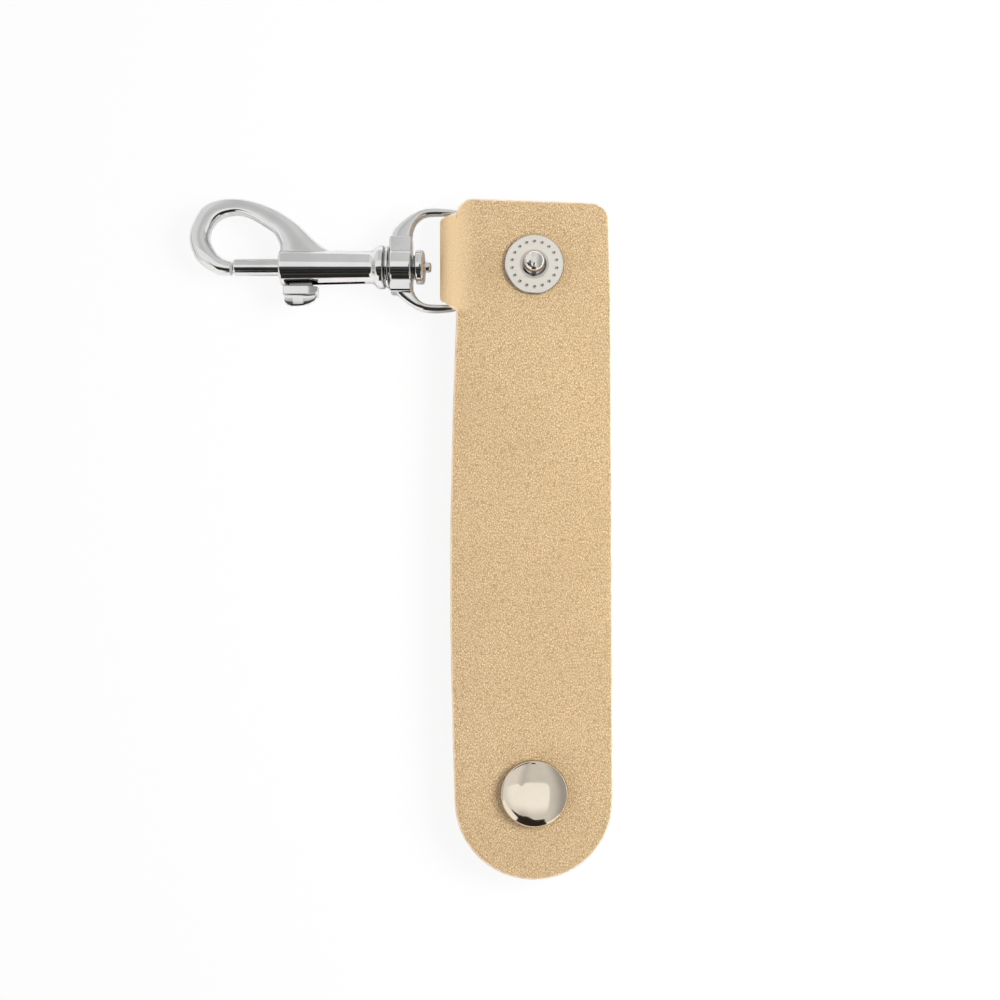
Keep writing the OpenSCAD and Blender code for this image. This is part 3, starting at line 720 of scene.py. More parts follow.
def head_piece(strap, material):
    """Head and tab in one piece of leather: a flat pattern that is folded round the ring's bar."""
    mesh = LeatherMesh(strap)
    cut_y = root_low_y(strap)
    tab_end = STUD.x + strap.tab_reach
    corner = strap.corner
    half_tab = strap.tab_width / 2

    def top_edge(x):
        return HEAD_TOP - strap.slope * (x - HEAD_LEFT - corner) / STRAP_W

    def add_tab(flat_x, x, z, normal, low, high):
        mesh.add(
            places_across(low, high, 26),
            lambda a: min(a - low, high - a),
            lambda a, depth: Vector((x, a, z)) + normal * depth,
            lambda a: (flat_x, a),
        )

    def add_hidden(x, z, normal, half):
        add_tab(2 * BAR.x - x - math.pi * FOLD_R, x, z, normal, BAR.y - half, BAR.y + half)

    # Hidden end and slope behind the head
    gap = 0.02 * MM
    space = 1 * MM
    back_z = BACK_Z - LEATHER_T / 2 - gap
    low_z = BAR.z - FOLD_R
    for a in np.linspace(0.12, math.pi / 2, 8):
        x = tab_end - corner * (1 - math.cos(a))
        add_hidden(x, back_z, -UP, half_tab - corner * (1 - math.sin(a)))
    for x in np.linspace(tab_end - corner - space, BAR.x + strap.tab_slope + space, 6):
        add_hidden(x, back_z, -UP, half_tab)
    for s in np.linspace(1, 0.06, 14):
        rise = (back_z - low_z) * 6 * s * (1 - s) / strap.tab_slope
        normal = Vector((rise, 0, -1)).normalized()
        z = low_z + (back_z - low_z) * smooth(s)
        add_hidden(BAR.x + strap.tab_slope * s, z, normal, half_tab)

    # Half turn round the bar. The tab only widens on its front half.
    fold_x = BAR.x - FOLD_R
    for a in np.linspace(-math.pi / 2, -3 * math.pi / 2, 33):
        normal = Vector((math.cos(a), 0, math.sin(a)))
        centre = BAR + normal * FOLD_R
        low, high = tab_sides(centre.x if a < -math.pi else fold_x, strap)
        add_tab(BAR.x - FOLD_R * (a + 3 * math.pi / 2), centre.x, centre.z, normal, low, high)

    # Front of the head
    left_c = Vector((HEAD_LEFT + corner, top_edge(HEAD_LEFT + corner) - corner))
    right_c = Vector((STRAP_RIGHT - corner, top_edge(STRAP_RIGHT - corner) - corner))

    def arc_above(centre, x):
        return centre.y + math.sqrt(max(0.0, corner ** 2 - (x - centre.x) ** 2))

    def y_high(x):
        if x < HEAD_LEFT:
            return tab_sides(x, strap)[1]
        if x < left_c.x:
            return max(arc_above(left_c, x), tab_sides(HEAD_LEFT, strap)[1])
        return arc_above(right_c, x) if x > right_c.x else top_edge(x)

    def to_edge(x, y):
        if x < HEAD_LEFT:
            low, high = tab_sides(x, strap)
            return min(y - low, high - y)
        near = [top_edge(x) - y, STRAP_RIGHT - x, math.hypot(x - HEAD_LEFT, y - cut_y)]
        if x < left_c.x and y > left_c.y:
            near.append(corner - (Vector((x, y)) - left_c).length)
        if x > right_c.x and y > right_c.y:
            near.append(corner - (Vector((x, y)) - right_c).length)
        return max(0.0, min(near))

    wave_fade = 4 * MM
    stations = list(np.linspace(BAR.x + 0.08 * MM, HEAD_LEFT, 5))
    stations += [left_c.x - corner * math.cos(a) for a in np.linspace(0.12, math.pi / 2, 9)]
    stations += list(np.linspace(left_c.x, right_c.x, 30))[1:-1]
    stations += [right_c.x + corner * math.sin(a) for a in np.linspace(0, 1.15, 9)]
    stations += [STRAP_RIGHT - d for d in reversed(NEAR_EDGE[:-2])]
    for x in sorted(set(stations)):
        low = tab_sides(x, strap)[0] if x < HEAD_LEFT else cut_y
        fade = smooth((x - BAR.x) / wave_fade)
        lean = strap.lean * smooth((x - STRAP_MID) / (STRAP_RIGHT - STRAP_MID))
        mesh.add(
            places_across(low, y_high(x), 26),
            lambda a: to_edge(x, a),
            lambda a, depth: Vector((
                x - lean * smooth((a - cut_y) / (HEAD_TOP - cut_y)), a,
                MID_Z + depth + fade * surface_wave(x, a, strap),
            )),
            lambda a: (x, a),
        )
    return mesh.make("leather_head", material)


def tail_piece(top, strap, material):
    """Round tail: half sections swept down one side, round the end and up the other side."""
    centre = Vector((STRAP_MID, TAIL_END + TAIL_RADIUS))
    rows = np.linspace(top, centre.y, round((top - centre.y) / ROW) + 1)
    spokes = [(Vector((STRAP_MID, y)), Vector((right_edge(y), y))) for y in rows]
    for a in np.linspace(0, -math.pi, 61)[1:-1]:
        spokes.append((centre, centre + TAIL_RADIUS * Vector((math.cos(a), math.sin(a)))))
    spokes += [(Vector((STRAP_MID, y)), Vector((left_edge(y, strap), y))) for y in reversed(rows)]
    mesh = LeatherMesh(strap)
    for inner, outer in spokes:
        whole = (outer - inner).length

        def flat(a):
            return outer + (inner - outer) * (a / whole)

        def raised(a, depth):
            x, y = flat(a)
            return Vector((x, y, MID_Z + depth + surface_wave(x, y, strap)))

        across = [*np.linspace(whole, NEAR_EDGE[-1], 16), *reversed(NEAR_EDGE[:-1])]
        mesh.add(across, lambda a: a, raised, flat, open_side=True)
    count = len(mesh.loops[0])
    faces = [
        (i * count + k, i * count + k + 1, (i + 1) * count + k + 1, (i + 1) * count + k)
        for i in range(len(spokes) - 1)
        for k in range(count - 1)
    ]
    last = (len(spokes) - 1) * count
    faces.append(tuple(reversed(range(count))) + tuple(last + k for k in range(count)))
    return mesh.make("leather_tail", material, faces)


class KEYSTRAP_OT_leather(Operator):
    """Makes the strap from its head with the folded tab, bands of leather between the hinge lines,
    and the round tail
    """

    bl_idname = "keystrap.leather"
    bl_label = "Leather strap"

    def execute(self, context):
        strap = context.scene.key_strap
        material = leather_finish(strap)
        seat(head_piece(strap, material), "head", "strap_head")
        middles = [(a + b) / 2 for a, b in zip(HINGE_Y, HINGE_Y[1:])]
        tail_cut = HINGE_Y[-1] - 2.6 * MM
        cuts = [root_low_y(strap), *middles, tail_cut]
        for k, (top, bottom) in enumerate(zip(cuts, cuts[1:])):
            band = strap_band(f"leather_bend_{k + 1}", top, bottom, strap, material)
            STRAP_BODIES[k + 1]
            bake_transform(band)
            if k < len(middles):
                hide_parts(f"strap_length_{k + 1}")
        seat(tail_piece(tail_cut, strap, material), "tail", "strap_end")
        return {"FINISHED"}


# Snap fastener


def stud_points(snap):
    """Profile of the stud as (height, radius), from the ball's top down and in below."""
    flange = FLANGE_R
    lip = 0.2 * MM
    face = snap.flange_height
    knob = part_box("stud")[1].z - FRONT_Z - face
    ball_z = face + 0.57 * knob
    ball = snap.ball_radius
    neck_z = face + knob / 4
    neck = math.sqrt(ball ** 2 - (ball_z - neck_z) ** 2)
    profile = [(face + knob, 0.0)]
    for a in np.linspace(0.12, math.pi / 2, 12):
        profile.append((ball_z + (face + knob - ball_z) * math.cos(a), ball * math.sin(a)))
    for k in range(1, 7):
        h = ball_z + (neck_z - ball_z) * k / 6
        profile.append((h, math.sqrt(ball ** 2 - (ball_z - h) ** 2)))
    for k in range(1, 9):
        a = math.pi / 2 * k / 8
        out = snap.foot_radius - (snap.foot_radius - neck) * math.cos(a)
        profile.append((neck_z - (neck_z - face) * math.sin(a), out))
    near = snap.dimple_circle - 2 * snap.dimple_radius
    far = snap.dimple_circle + 2 * snap.dimple_radius
    for r in (*np.linspace(snap.foot_radius + 0.1 * MM, near, 6), *np.linspace(near, far, 22)[1:]):
        profile.append((face, r))
    profile += [(face, flange - 0.4 * MM), (face, flange - 0.28 * MM)]
    for a in np.linspace(0, math.pi / 2, 6)[1:]:
        profile.append((face - lip * (1 - math.cos(a)), flange - lip + lip * math.sin(a)))
    profile += [(0.1 * MM, flange), (0.0, flange - 0.1 * MM), (0.0, 0.0)]
    return profile


def in_dimple(flat, snap):
    """1 in the middle of a dimple of the stud's flange, and 0 outside it."""
    angle = math.atan2(flat.y, flat.x)
    step = 2 * math.pi / snap.dimples
    nearest = (round(angle / step - 0.5) + 0.5) * step
    dimple = Vector((math.cos(nearest), math.sin(nearest))) * snap.dimple_circle
    return math.exp(-((flat - dimple).length / snap.dimple_radius) ** 4)


def stud_dullness(place, snap):
    """Painted shade and painted dark reflection: in the dimples, low on the ball, in the corner at
    the knob's foot, and round and under the flange's edge.
    """
    radius = place.xy.length
    under_rim = snap.flange_height - 0.25 * MM
    dull_top = 3.3 * MM
    if place.z < under_rim:
        return 0.8
    if radius < snap.foot_radius - 0.2 * MM:
        side = smooth((radius - snap.ball_radius) / (0.3 * MM) + 1)
        return 0.95 * side * smooth((dull_top - place.z) / (0.4 * MM))
    foot = math.exp(-((radius - snap.foot_radius) / (0.14 * MM)) ** 2)
    rim = smooth((radius - FLANGE_R) / (0.12 * MM) + 1)
    # Each dimple's painted shade is set off to the side whose wall faces away from the lamp
    core = in_dimple(place.xy - Vector((0.07, 0.05)) * MM, snap) ** 3
    return min(1.0, core + 0.5 * foot + 0.8 * rim)


# How dark the plating is painted in a corner or gap where shade falls
GAP_SHADE = 0.85


def paint_shade(piece, dullness):
    """Stores on each point how much painted shade darkens the plating there, from 0 to 1."""
    dull = piece.data.attributes.new("dull", "FLOAT", "POINT")
    dull.data.foreach_set("value", [dullness(vertex.co) for vertex in piece.data.vertices])


class KEYSTRAP_OT_stud(Operator):
    """Makes the stud with its ball knob and its ring of dimples"""

    bl_idname = "keystrap.stud"
    bl_label = "Stud"

    def execute(self, context):
        snap = context.scene.key_snap
        material = plated_finish("stud_plate", snap.stud_metal, 0.16, 0.004 * MM)
        per_dimple = 16
        foot = at_height(STUD, FRONT_Z)
        shape = turned(stud_points(snap), foot, UP, snap.dimples * per_dimple)
        face_z = FRONT_Z + snap.flange_height
        for point in shape[0]:
            if abs(point.z - face_z) < 0.01 * MM:
                point.z -= snap.dimple_depth * in_dimple(point.xy - STUD.xy, snap)
        stud = even_shading(mesh_piece("stud_front", shape, material))
        # Painted shade and painted dark reflection on the stud, stored on its points
        paint_shade(stud, lambda point: stud_dullness(point - foot, snap))
        seat(stud, "head", "stud")
        return {"FINISHED"}


class KEYSTRAP_OT_cap(Operator):
    """Makes the domed cap on the tail"""

    bl_idname = "keystrap.cap"
    bl_label = "Cap"

    def execute(self, context):
        snap = context.scene.key_snap
        material = plated_finish("cap_plate", snap.cap_metal, 0.07, 0.003 * MM)
        low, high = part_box("cap_shell")
        radius = (high.x - low.x) / 2
        height = high.z - FRONT_Z
        rim = 0.9 * MM
        profile = [(height, 0.0)]
        for a in (*np.linspace(0.04, 1.3, 24), *np.linspace(1.34, math.pi / 2, 7)):
            profile.append((rim + (height - rim) * math.cos(a), radius * math.sin(a)))
        profile += [(rim * 0.6, radius), (0.3 * MM, radius - 0.03 * MM)]
        profile += [(0.08 * MM, radius - 0.14 * MM), (0.0, radius - 0.35 * MM), (0.0, 0.0)]
        cap = turned_piece("cap_dome", profile, at_height(CAP, FRONT_Z), material, UP, 128)
        fade = 0.16 * MM
        # Painted shade round the cap's rim, where it meets the leather
        paint_shade(cap, lambda point: GAP_SHADE * smooth(((point - CAP).xy.length - radius) / fade + 1))
        seat(cap, "tail", "cap_shell")
        return {"FINISHED"}


class KEYSTRAP_OT_socket(Operator):
    """Makes the socket behind the tail and finishes the eyelets and the socket's spring"""

    bl_idname = "keystrap.socket"
    bl_label = "Socket and eyelets"

    def execute(self, context):
        snap = context.scene.key_snap
        material = plated_finish("inner_plate", snap.inner_metal, 0.24, 0.004 * MM)
        low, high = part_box("socket_body")
        radius = (high.x - low.x) / 2
        height = high.z - low.z
        cup = 4 * MM
        bore = 2.05 * MM
        mouth = 2.65 * MM
        groove = 0.3 * MM
        groove_r = 2.33 * MM
        grip = height - 0.7 * MM
        sheet = 0.35 * MM
        eyelet = 1.75 * MM
        profile = rounded([
            (0.0, eyelet, 0), (0.0, radius, 0.2), (height / 4, radius, 0.3),
            (height / 4, cup + 0.3 * MM, 0.3), (height / 4 + 0.8 * MM, cup, 0.5),
            (height, cup, 0.8), (height, mouth, 0.2), (grip + groove + 0.1 * MM, bore, 0.2),
            (grip + groove, bore, 0), (grip + groove, groove_r, 0), (grip - groove, groove_r, 0),
            (grip - groove, bore, 0), (sheet, bore, 0), (sheet, eyelet, 0),
        ])
        shape = turned(profile, at_height(CAP, BACK_Z), -UP, closed=True)
        socket = even_shading(mesh_piece("socket_front", shape, material), 40)
        seat(socket, "tail", "socket_body")
        for node in ("stud_post", "cap_post", "socket_spring"):
            dress(node, material)
        return {"FINISHED"}


def dress(node, material):
    """Gives a CAD node's object a better material."""
    piece = frame["nodes"][node]
    piece.data.materials.clear()
    piece.data.materials.append(material)


# Swivel hook

HOOK_AXIS = joint_place("swivel_turn")
HOOK_LOW, HOOK_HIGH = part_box("hook_body")
EYE_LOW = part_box("swivel_eye")[0]
BOLT_PLAY = 0.06 * MM

# How far a cutter runs past what it cuts
OVERRUN = 1 * MM

# Shares of the hook's reach and rise: outer rail, inner rail, half thickness, from tip to barrel
HOOK_SHARES = [
    (0.55, -0.115, 0.55, 0.079, 0.86), (0.65, -0.108, 0.618, 0.112, 0.92),
    (0.746, -0.068, 0.686, 0.172, 0.96), (0.923, 0.106, 0.763, 0.33, 1.0),
    (1.0, 0.395, 0.781, 0.45, 1.0), (0.959, 0.64, 0.748, 0.585, 1.0),
    (0.852, 0.875, 0.698, 0.676, 1.0), (0.689, 0.978, 0.613, 0.745, 1.0),
    (0.479, 1.0, 0.473, 0.775, 1.0), (0.231, 0.937, 0.337, 0.725, 1.02),
    (0.01, 0.81, 0.207, 0.625, 1.06), (-0.189, 0.63, 0.075, 0.5, 1.12),
    (-0.349, 0.423, 0.009, 0.33, 1.2), (-0.473, 0.287, 0.003, 0.175, 1.25),
    (-0.62, 0.19, -0.02, 0.08, 1.25),
]

# Shares of the ring's reach and half height, of its opening's, and of the half thickness
EYE_SHARES = [
    (-0.068, 0.915, -0.103, 1.02, 0.4), (-0.03, 0.955, -0.045, 1.0, 0.76),
    (0.11, 0.985, 0.165, 1.0, 0.82), (0.28, 1.0, 0.43, 1.0, 0.9), (0.45, 0.985, 0.66, 0.98, 0.95),
    (0.6, 0.925, 0.81, 0.91, 1.0), (0.73, 0.825, 0.92, 0.79, 1.0), (0.855, 0.7, 0.98, 0.63, 1.0),
    (0.955, 0.555, 1.0, 0.44, 1.05),
    (0.995, 0.37, 1.0, 0.27, 1.1), (0.995, 0.12, 1.0, 0.09, 1.1),
]


def on_axis(x):
    """A point on the axis of the barrel, the bolt and the rivet."""
    return Vector((x, HOOK_AXIS.y, HOOK_AXIS.z))


def rod(name, start, reach, radius, material, axis=RIGHT, around=64):
    """A plain rod, used to unite or cut."""
    profile = [(0, 0), (0, radius), (reach, radius), (reach, 0)]
    return turned_piece(name, profile, start, material, axis, around)


class KEYSTRAP_OT_hook(Operator):
    """Makes the cast hook with its barrel, collar, lip, bore and slot"""

    bl_idname = "keystrap.hook"
    bl_label = "Hook and barrel"

    def execute(self, context):
        hook = context.scene.key_hook
        material = plated_finish("hook_chrome", hook.chrome, 0.07, 0.006 * MM)
        origin = on_axis(HOOK_LOW.x + hook.reach)
        barrel = HOOK_HIGH.x - origin.x
        stations = []
        for k, (outer_x, outer_y, inner_x, inner_y, half) in enumerate(HOOK_SHARES):
            squareness = np.interp(k, (1, 3, 8, 11), (0.9, 0.74, 0.74, 0.62))
            stations.append((
                -outer_x * hook.reach, outer_y * hook.rise,
                -inner_x * hook.reach, inner_y * hook.rise, half * hook.thickness / 2, squareness,
            ))
        body = mesh_piece("hook_casting", lofted(stations, origin, steps=10, sides=48), material)
        lip = barrel - 0.5 * MM
        groove = lip - 0.35 * MM
        collar = groove - 1.65 * MM
        groove_r = hook.collar - 0.45 * MM
        lip_r = hook.collar - 0.15 * MM
        profile = rounded([
            (0, 0, 0), (0, hook.barrel_front, 0.45), (collar - 0.5 * MM, hook.barrel_rear, 0.6),
            (collar + 0.4 * MM, hook.collar, 0.75), (groove, hook.collar, 0.45),
            (groove, groove_r, 0.1), (lip, groove_r, 0.1), (lip, lip_r, 0.15),
            (barrel, lip_r, 0.15), (barrel, 0, 0),
        ])
        combine(body, turned_piece("barrel", profile, origin, material), "UNION")
        bore_r = hook.bolt + BOLT_PLAY
        bore = rod("bore", origin - RIGHT * OVERRUN, barrel + 2 * OVERRUN, bore_r, material)
        combine(body, bore, "DIFFERENCE")
        slot_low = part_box("thumb_knob")[0].x + 0.68 * MM
        slot_length = 14.3 * MM
        slot_depth = 5 * MM
        half_slot = 0.8 * MM
        low = (slot_low, origin.y - slot_depth, origin.z - half_slot)
        high = (slot_low + slot_length, origin.y, origin.z + half_slot)
        combine(body, block("slot", low, high, material), "DIFFERENCE")
        even_shading(body, 32)
        # Painted shade in the groove between the collar and the lip
        paint_shade(body, lambda point: GAP_SHADE * between(point.x - origin.x, groove, lip, 0.12 * MM))
        seat(body, "hook", "hook_body")
        return {"FINISHED"}


def between(value, low, high, fade):
    """1 from low to high, and 0 beyond them by more than a fade."""
    return smooth((value - low) / fade + 1) * smooth((high - value) / fade + 1)


def block(name, low, high, material):
    """A plain block, used to unite or cut."""
    (x0, y0, z0), (x1, y1, z1) = low, high
    corners = ((y0, z0), (y1, z0), (y1, z1), (y0, z1))
    return mesh_piece(name, skin([[Vector((x, *c)) for c in corners] for x in (x0, x1)]), material)


class KEYSTRAP_OT_eye(Operator):
    """Makes the swivel eye: a ring with a straight bar and a bored boss"""

    bl_idname = "keystrap.eye"
    bl_label = "Swivel eye"

    def execute(self, context):
        hook = context.scene.key_hook
        material = plated_finish("eye_chrome", hook.chrome, 0.07, 0.006 * MM)
        reach = BAR.x - EYE_LOW.x
        opening = reach - hook.boss_length
        inner = context.scene.key_strap.tab_width / 2 + hook.ring_play
        outer = inner + hook.ring_wire
        stations = []
        for side, shares in ((-1, EYE_SHARES), (1, EYE_SHARES[::-1])):
            for outer_x, outer_y, inner_x, inner_y, half in shares:
                squareness = np.interp(outer_x, (0.5, 0.9), (0.9, 0.62))
                stations.append((
                    -outer_x * reach, side * outer_y * outer, -inner_x * opening,
                    side * inner_y * inner, half * hook.ring_thickness / 2, squareness,
                ))
        eye = mesh_piece("swivel_ring", lofted(stations, BAR, steps=8, sides=40), material)
        bar_r = 1 * MM
        bar_half = inner + hook.ring_wire / 4
        bar_low = BAR - FORWARD * bar_half
        combine(eye, rod("bar", bar_low, 2 * bar_half, bar_r, material, FORWARD, 48), "UNION")
        combine(eye, self.shoulders(hook, material), "UNION")
        start = on_axis(EYE_LOW.x)
        boss = rounded([
            (0, 0, 0), (0, hook.boss_radius, 0.5), (hook.boss_length, hook.boss_radius, 0.5),
            (hook.boss_length, 0, 0),
        ])
        combine(eye, turned_piece("boss", boss, start, material), "UNION")
        bore_r = hook.bolt + 2 * BOLT_PLAY
        depth = hook.boss_length + 2 * OVERRUN
        bore = rod("eye_bore", start - RIGHT * OVERRUN, depth, bore_r, material)
        combine(eye, bore, "DIFFERENCE")
        even_shading(eye, 32)
        seat(eye, "eye", "swivel_eye")
        return {"FINISHED"}

    def shoulders(self, hook, material):
        """The flat block that joins the boss to the ring's two arms."""
        mid_y = HOOK_AXIS.y + (BAR.y - HOOK_AXIS.y) / 4
        end = hook.boss_length
        loops = []
        for start, along, inset in (
            (0, 0, 0.3), (0, 0.12, 0.09), (0, 0.35, 0), (end, -0.35, 0), (end, -0.12, 0.09),
            (end, -0.001, 0.3),
        ):
            x = EYE_LOW.x + along * MM + start
            half_y = hook.shoulder_width / 2 - inset * MM
            half_z = hook.shoulder_thickness / 2 - inset * MM
            loops.append(box_section(x, mid_y - half_y, mid_y + half_y, half_z, 0.45 * MM))
        return mesh_piece("shoulders", skin(loops), material)


class KEYSTRAP_OT_rivet(Operator):
    """Makes the swivel rivet that holds the hook in the eye"""

    bl_idname = "keystrap.rivet"
    bl_label = "Swivel rivet"

    def execute(self, context):
        hook = context.scene.key_hook
        material = plated_finish("rivet_chrome", hook.chrome, 0.09, 0.005 * MM)
        low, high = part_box("swivel_rivet")
        end = high.x - low.x
        head = end - 1.25 * MM
        under = head - 1.55 * MM
        step = under - 0.55 * MM
        shank = hook.bolt + BOLT_PLAY
        step_r = 2.2 * MM
        head_r = 3.1 * MM
        profile = rounded([
            (0, 0, 0), (0, shank, 0.1), (step, shank, 0), (step, step_r, 0.12),
            (under, step_r, 0.1), (under, head_r, 0.35), (head, head_r, 0.6),
            (head - 0.06 * MM, 1.15 * MM, 0.2), (head + 0.2 * MM, 0.9 * MM, 0.15),
            (end, 0.95 * MM, 0.6), (end, 0, 0),
        ])
        rivet = turned_piece("rivet", profile, on_axis(low.x), material)
        even_shading(rivet, 40)
        # Painted shade on the rivet's step, in the gap between the boss and the rivet's head
        paint_shade(rivet, lambda point: GAP_SHADE * between(point.x - low.x, step, under, 0.1 * MM))
        seat(rivet, "hook", "swivel_rivet")
        return {"FINISHED"}


class KEYSTRAP_OT_latch(Operator):
    """Makes the latch bolt, its thumb knob and the spring behind it"""

    bl_idname = "keystrap.latch"
    bl_label = "Latch bolt, knob and spring"

    def execute(self, context):
        hook = context.scene.key_hook
        chrome = plated_finish("latch_chrome", hook.chrome, 0.08, 0.005 * MM)
        self.make_bolt(hook, chrome)
        self.make_knob(hook, chrome)
        self.make_spring(hook)
        return {"FINISHED"}

    def make_bolt(self, hook, chrome):
        low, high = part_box("latch_bolt")
        end = high.x - low.x
        toe = 0.35 * MM
        profile = rounded([
            (0, 0, 0), (0, hook.bolt - toe, 0.15), (toe, hook.bolt, 0.2), (end, hook.bolt, 0.1),
            (end, 0, 0),
        ])
        bolt = turned_piece("bolt", profile, on_axis(low.x), chrome)
        even_shading(bolt)
        seat(bolt, "bolt", "latch_bolt")

    def make_knob(self, hook, chrome):
        """A block by the barrel, tapered at its rear, with a rounded thumb piece."""
        low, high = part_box("thumb_knob")
        near = HOOK_AXIS.y - hook.barrel_front - 0.45 * MM
        far = low.y - 0.5 * MM
        ridge_share = 0.46
        ridge = near - (near - far) * ridge_share
        slimness = 0.86
        half = (high.z - low.z) / 2 * slimness
        whole = high.x - low.x
        taper = 1 - hook.knob_chamfer / whole
        loops = []
        for t, part in (
            (0, 0.9), (0.02, 0.97), (0.05, 1.0), (taper, 1.0), (taper + 0.02, 0.98), (0.97, 0.55),
            (1, 0.49),
        ):
            loops.append(box_section(low.x + t * whole, near, ridge, half * part, 0.2 * MM))
        knob = mesh_piece("thumb_knob_block", skin(loops), chrome)
        toe_in = 0.25 * MM
        undercut = 1.1 * MM
        heel_end = 0.24 * whole
        toe_start = 0.36 * whole
        loops = []
        for t in np.linspace(0, 1, 31):
            x = low.x + toe_in + (whole - toe_in) * (0.5 - 0.5 * math.cos(math.pi * t))
            heel = min(1.0, (x - low.x) / heel_end)
            toe = max(0.0, (x - low.x - toe_start) / (whole - toe_start))
            heel_share = math.sqrt(max(0.0, 1 - (1 - heel) ** 2)) ** 0.8
            drop = (ridge - far) * heel_share * math.sqrt(max(0.0, 1 - toe ** 2))
            edge = ridge - max(drop, 0.12 * MM)
            width = half * 0.82 * (1 - 0.3 * smooth(toe))
            loops.append(box_section(x, ridge + 1.1 * MM, edge, width, 0.42 * MM, undercut))
        combine(knob, mesh_piece("thumb", skin(loops), chrome), "UNION")
        stem_low = low.x + 0.99 * MM
        stem_length = 4.2 * MM
        half_stem = 0.7 * MM
        stem = block(
            "stem", (stem_low, near - 0.5 * MM, HOOK_AXIS.z - half_stem),
            (stem_low + stem_length, HOOK_AXIS.y - 0.3 * MM, HOOK_AXIS.z + half_stem), chrome
        )
        combine(knob, stem, "UNION")
        even_shading(knob, 32)
        # Painted shade on the knob's face toward the barrel and on its stem in the slot
        paint_shade(knob, lambda point: GAP_SHADE * smooth((point.y - near) / (0.05 * MM) + 1))
        seat(knob, "bolt", "thumb_knob")

    def make_spring(self, hook):
        low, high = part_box("latch_spring")
        wire = plated_finish("spring_wire", hook.wire, 0.25, 0.002 * MM)
        radius = (high.z - low.z) / 2 - hook.spring_wire
        run = high.x - low.x - 2 * hook.spring_wire
        rings = 28 * hook.curls
        slope = run / hook.curls / (2 * math.pi * radius)
        start = low.x + hook.spring_wire
        loops = []
        for i in range(rings + 1):
            a = 2 * math.pi * i * hook.curls / rings
            out = Vector((0, math.cos(a), math.sin(a)))
            along = Vector((slope, -math.sin(a), math.cos(a))).normalized()
            side = along.cross(out)
            centre = on_axis(start + run * i / rings) + out * radius
            loops.append([
                centre + (out * math.cos(b) + side * math.sin(b)) * hook.spring_wire
                for b in (2 * math.pi * k / 10 for k in range(10))
            ])
        spring = mesh_piece("latch_coil", skin(loops), wire)
        seat(spring, "hook", "latch_spring")
        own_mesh(spring)


def box_section(x, near, far, half, radius, undercut=0.0):
    """A rounded rectangle across X on the hook's axis, from near to far along Y.

    Its lower far corner may lie further in.
    """
    radius = min(radius, abs(near - far) / 2.2, half / 1.1)
    undercut = min(undercut, abs(near - far) - 2.1 * radius)
    sign = -1 if far < near else 1
    low_z = HOOK_AXIS.z - half + radius
    high_z = HOOK_AXIS.z + half - radius
    corners = (
        (near + sign * radius, low_z, math.pi),
        (far - sign * (radius + undercut), low_z, 1.5 * math.pi),
        (far - sign * radius, high_z, 0.0), (near + sign * radius, high_z, 0.5 * math.pi),
    )
    loop = []
    for y, z, start in corners:
        for k in range(5):
            a = start + math.pi / 2 * k / 4
            loop.append(Vector((x, y + sign * radius * math.cos(a), z + radius * math.sin(a))))
    return loop


# Studio


def emission(nodes, light):
    return nodes.node("ShaderNodeEmission", {}, {"Color": opaque(light), "Strength": 1.0})


def stage_piece(name, corners, surface):
    """A flat piece of the stage. surface(nodes) gives its shader."""
    material = bpy.data.materials.new(name)
    material.use_nodes = True
    material.node_tree.nodes.clear()
    nodes = Nodes(material.node_tree)
    nodes.node("ShaderNodeOutputMaterial", {}, {"Surface": surface(nodes)})
    piece = mesh_piece(name, (corners, [tuple(range(len(corners)))]), material)
    return piece


def stage_card(name, corners, light, solid=None):
    """A flat card that only shows in polished metal.

    light is its colour, or light(nodes) gives it. solid(nodes) is how solid it is.
    """
    def surface(nodes):
        shine = emission(nodes, light(nodes) if callable(light) else light)
        if solid:
            clear = nodes.node("ShaderNodeBsdfTransparent")
            inputs = {0: solid(nodes), 1: clear, 2: shine}
            shine = nodes.node("ShaderNodeMixShader", {}, inputs)
        return shine

    card = stage_piece(name, corners, surface)
    card.visible_camera = False
    card.visible_diffuse = False
    card.visible_shadow = False
    card.visible_transmission = False


def level_corners(origin, low_x, low_y, high_x, high_y, z):
    """Corners of a level card. Places are in millimetres from the origin."""
    corners = ((low_x, low_y), (high_x, low_y), (high_x, high_y), (low_x, high_y))
    return [origin + Vector((x, y, z)) * MM for x, y in corners]


def upright_corners(y, outline):
    """Corners of an upright card that faces along Y. Places are in millimetres."""
    return [Vector((x, y, z)) * MM for x, z in outline]


def streaks(nodes):
    bands = nodes.noise(nodes.place(), 9 * MM, 2.0, (0.06, 1.0, 1.0))
    return nodes.mix(bands.above(0.42, 0.62), (0.012,) * 3, (0.065,) * 3)


def pale(nodes):
    across = nodes.split(nodes.place())[0]
    return nodes.mix(across.above(-230 * MM, -80 * MM), (0.84,) * 3, (0.98,) * 3)


def faded(nodes):
    """The pale card's outline, with a rounded corner, a dip and a soft ripple along its edge."""
    place = nodes.place()
    across, along = nodes.split(place)[:2]
    right = (across - 70 * MM).math("MAXIMUM", across - 70 * MM, 0.0)
    back = along.math("MAXIMUM", along + 62 * MM, 0.0)
    corner = (right ** 2 + back ** 2) ** 0.5
    dip = across.above(-64 * MM, -38 * MM) * across.above(-18 * MM, -32 * MM) * (16 * MM)
    ripple = nodes.noise(place, 26 * MM, 1.0, (1.0, 0.1, 0.1)) - 0.5
    edge = (along + dip + ripple * (12 * MM)).above(-27 * MM, -33 * MM)
    return along.above(-228 * MM, -130 * MM) * edge * corner.above(37 * MM, 26 * MM)


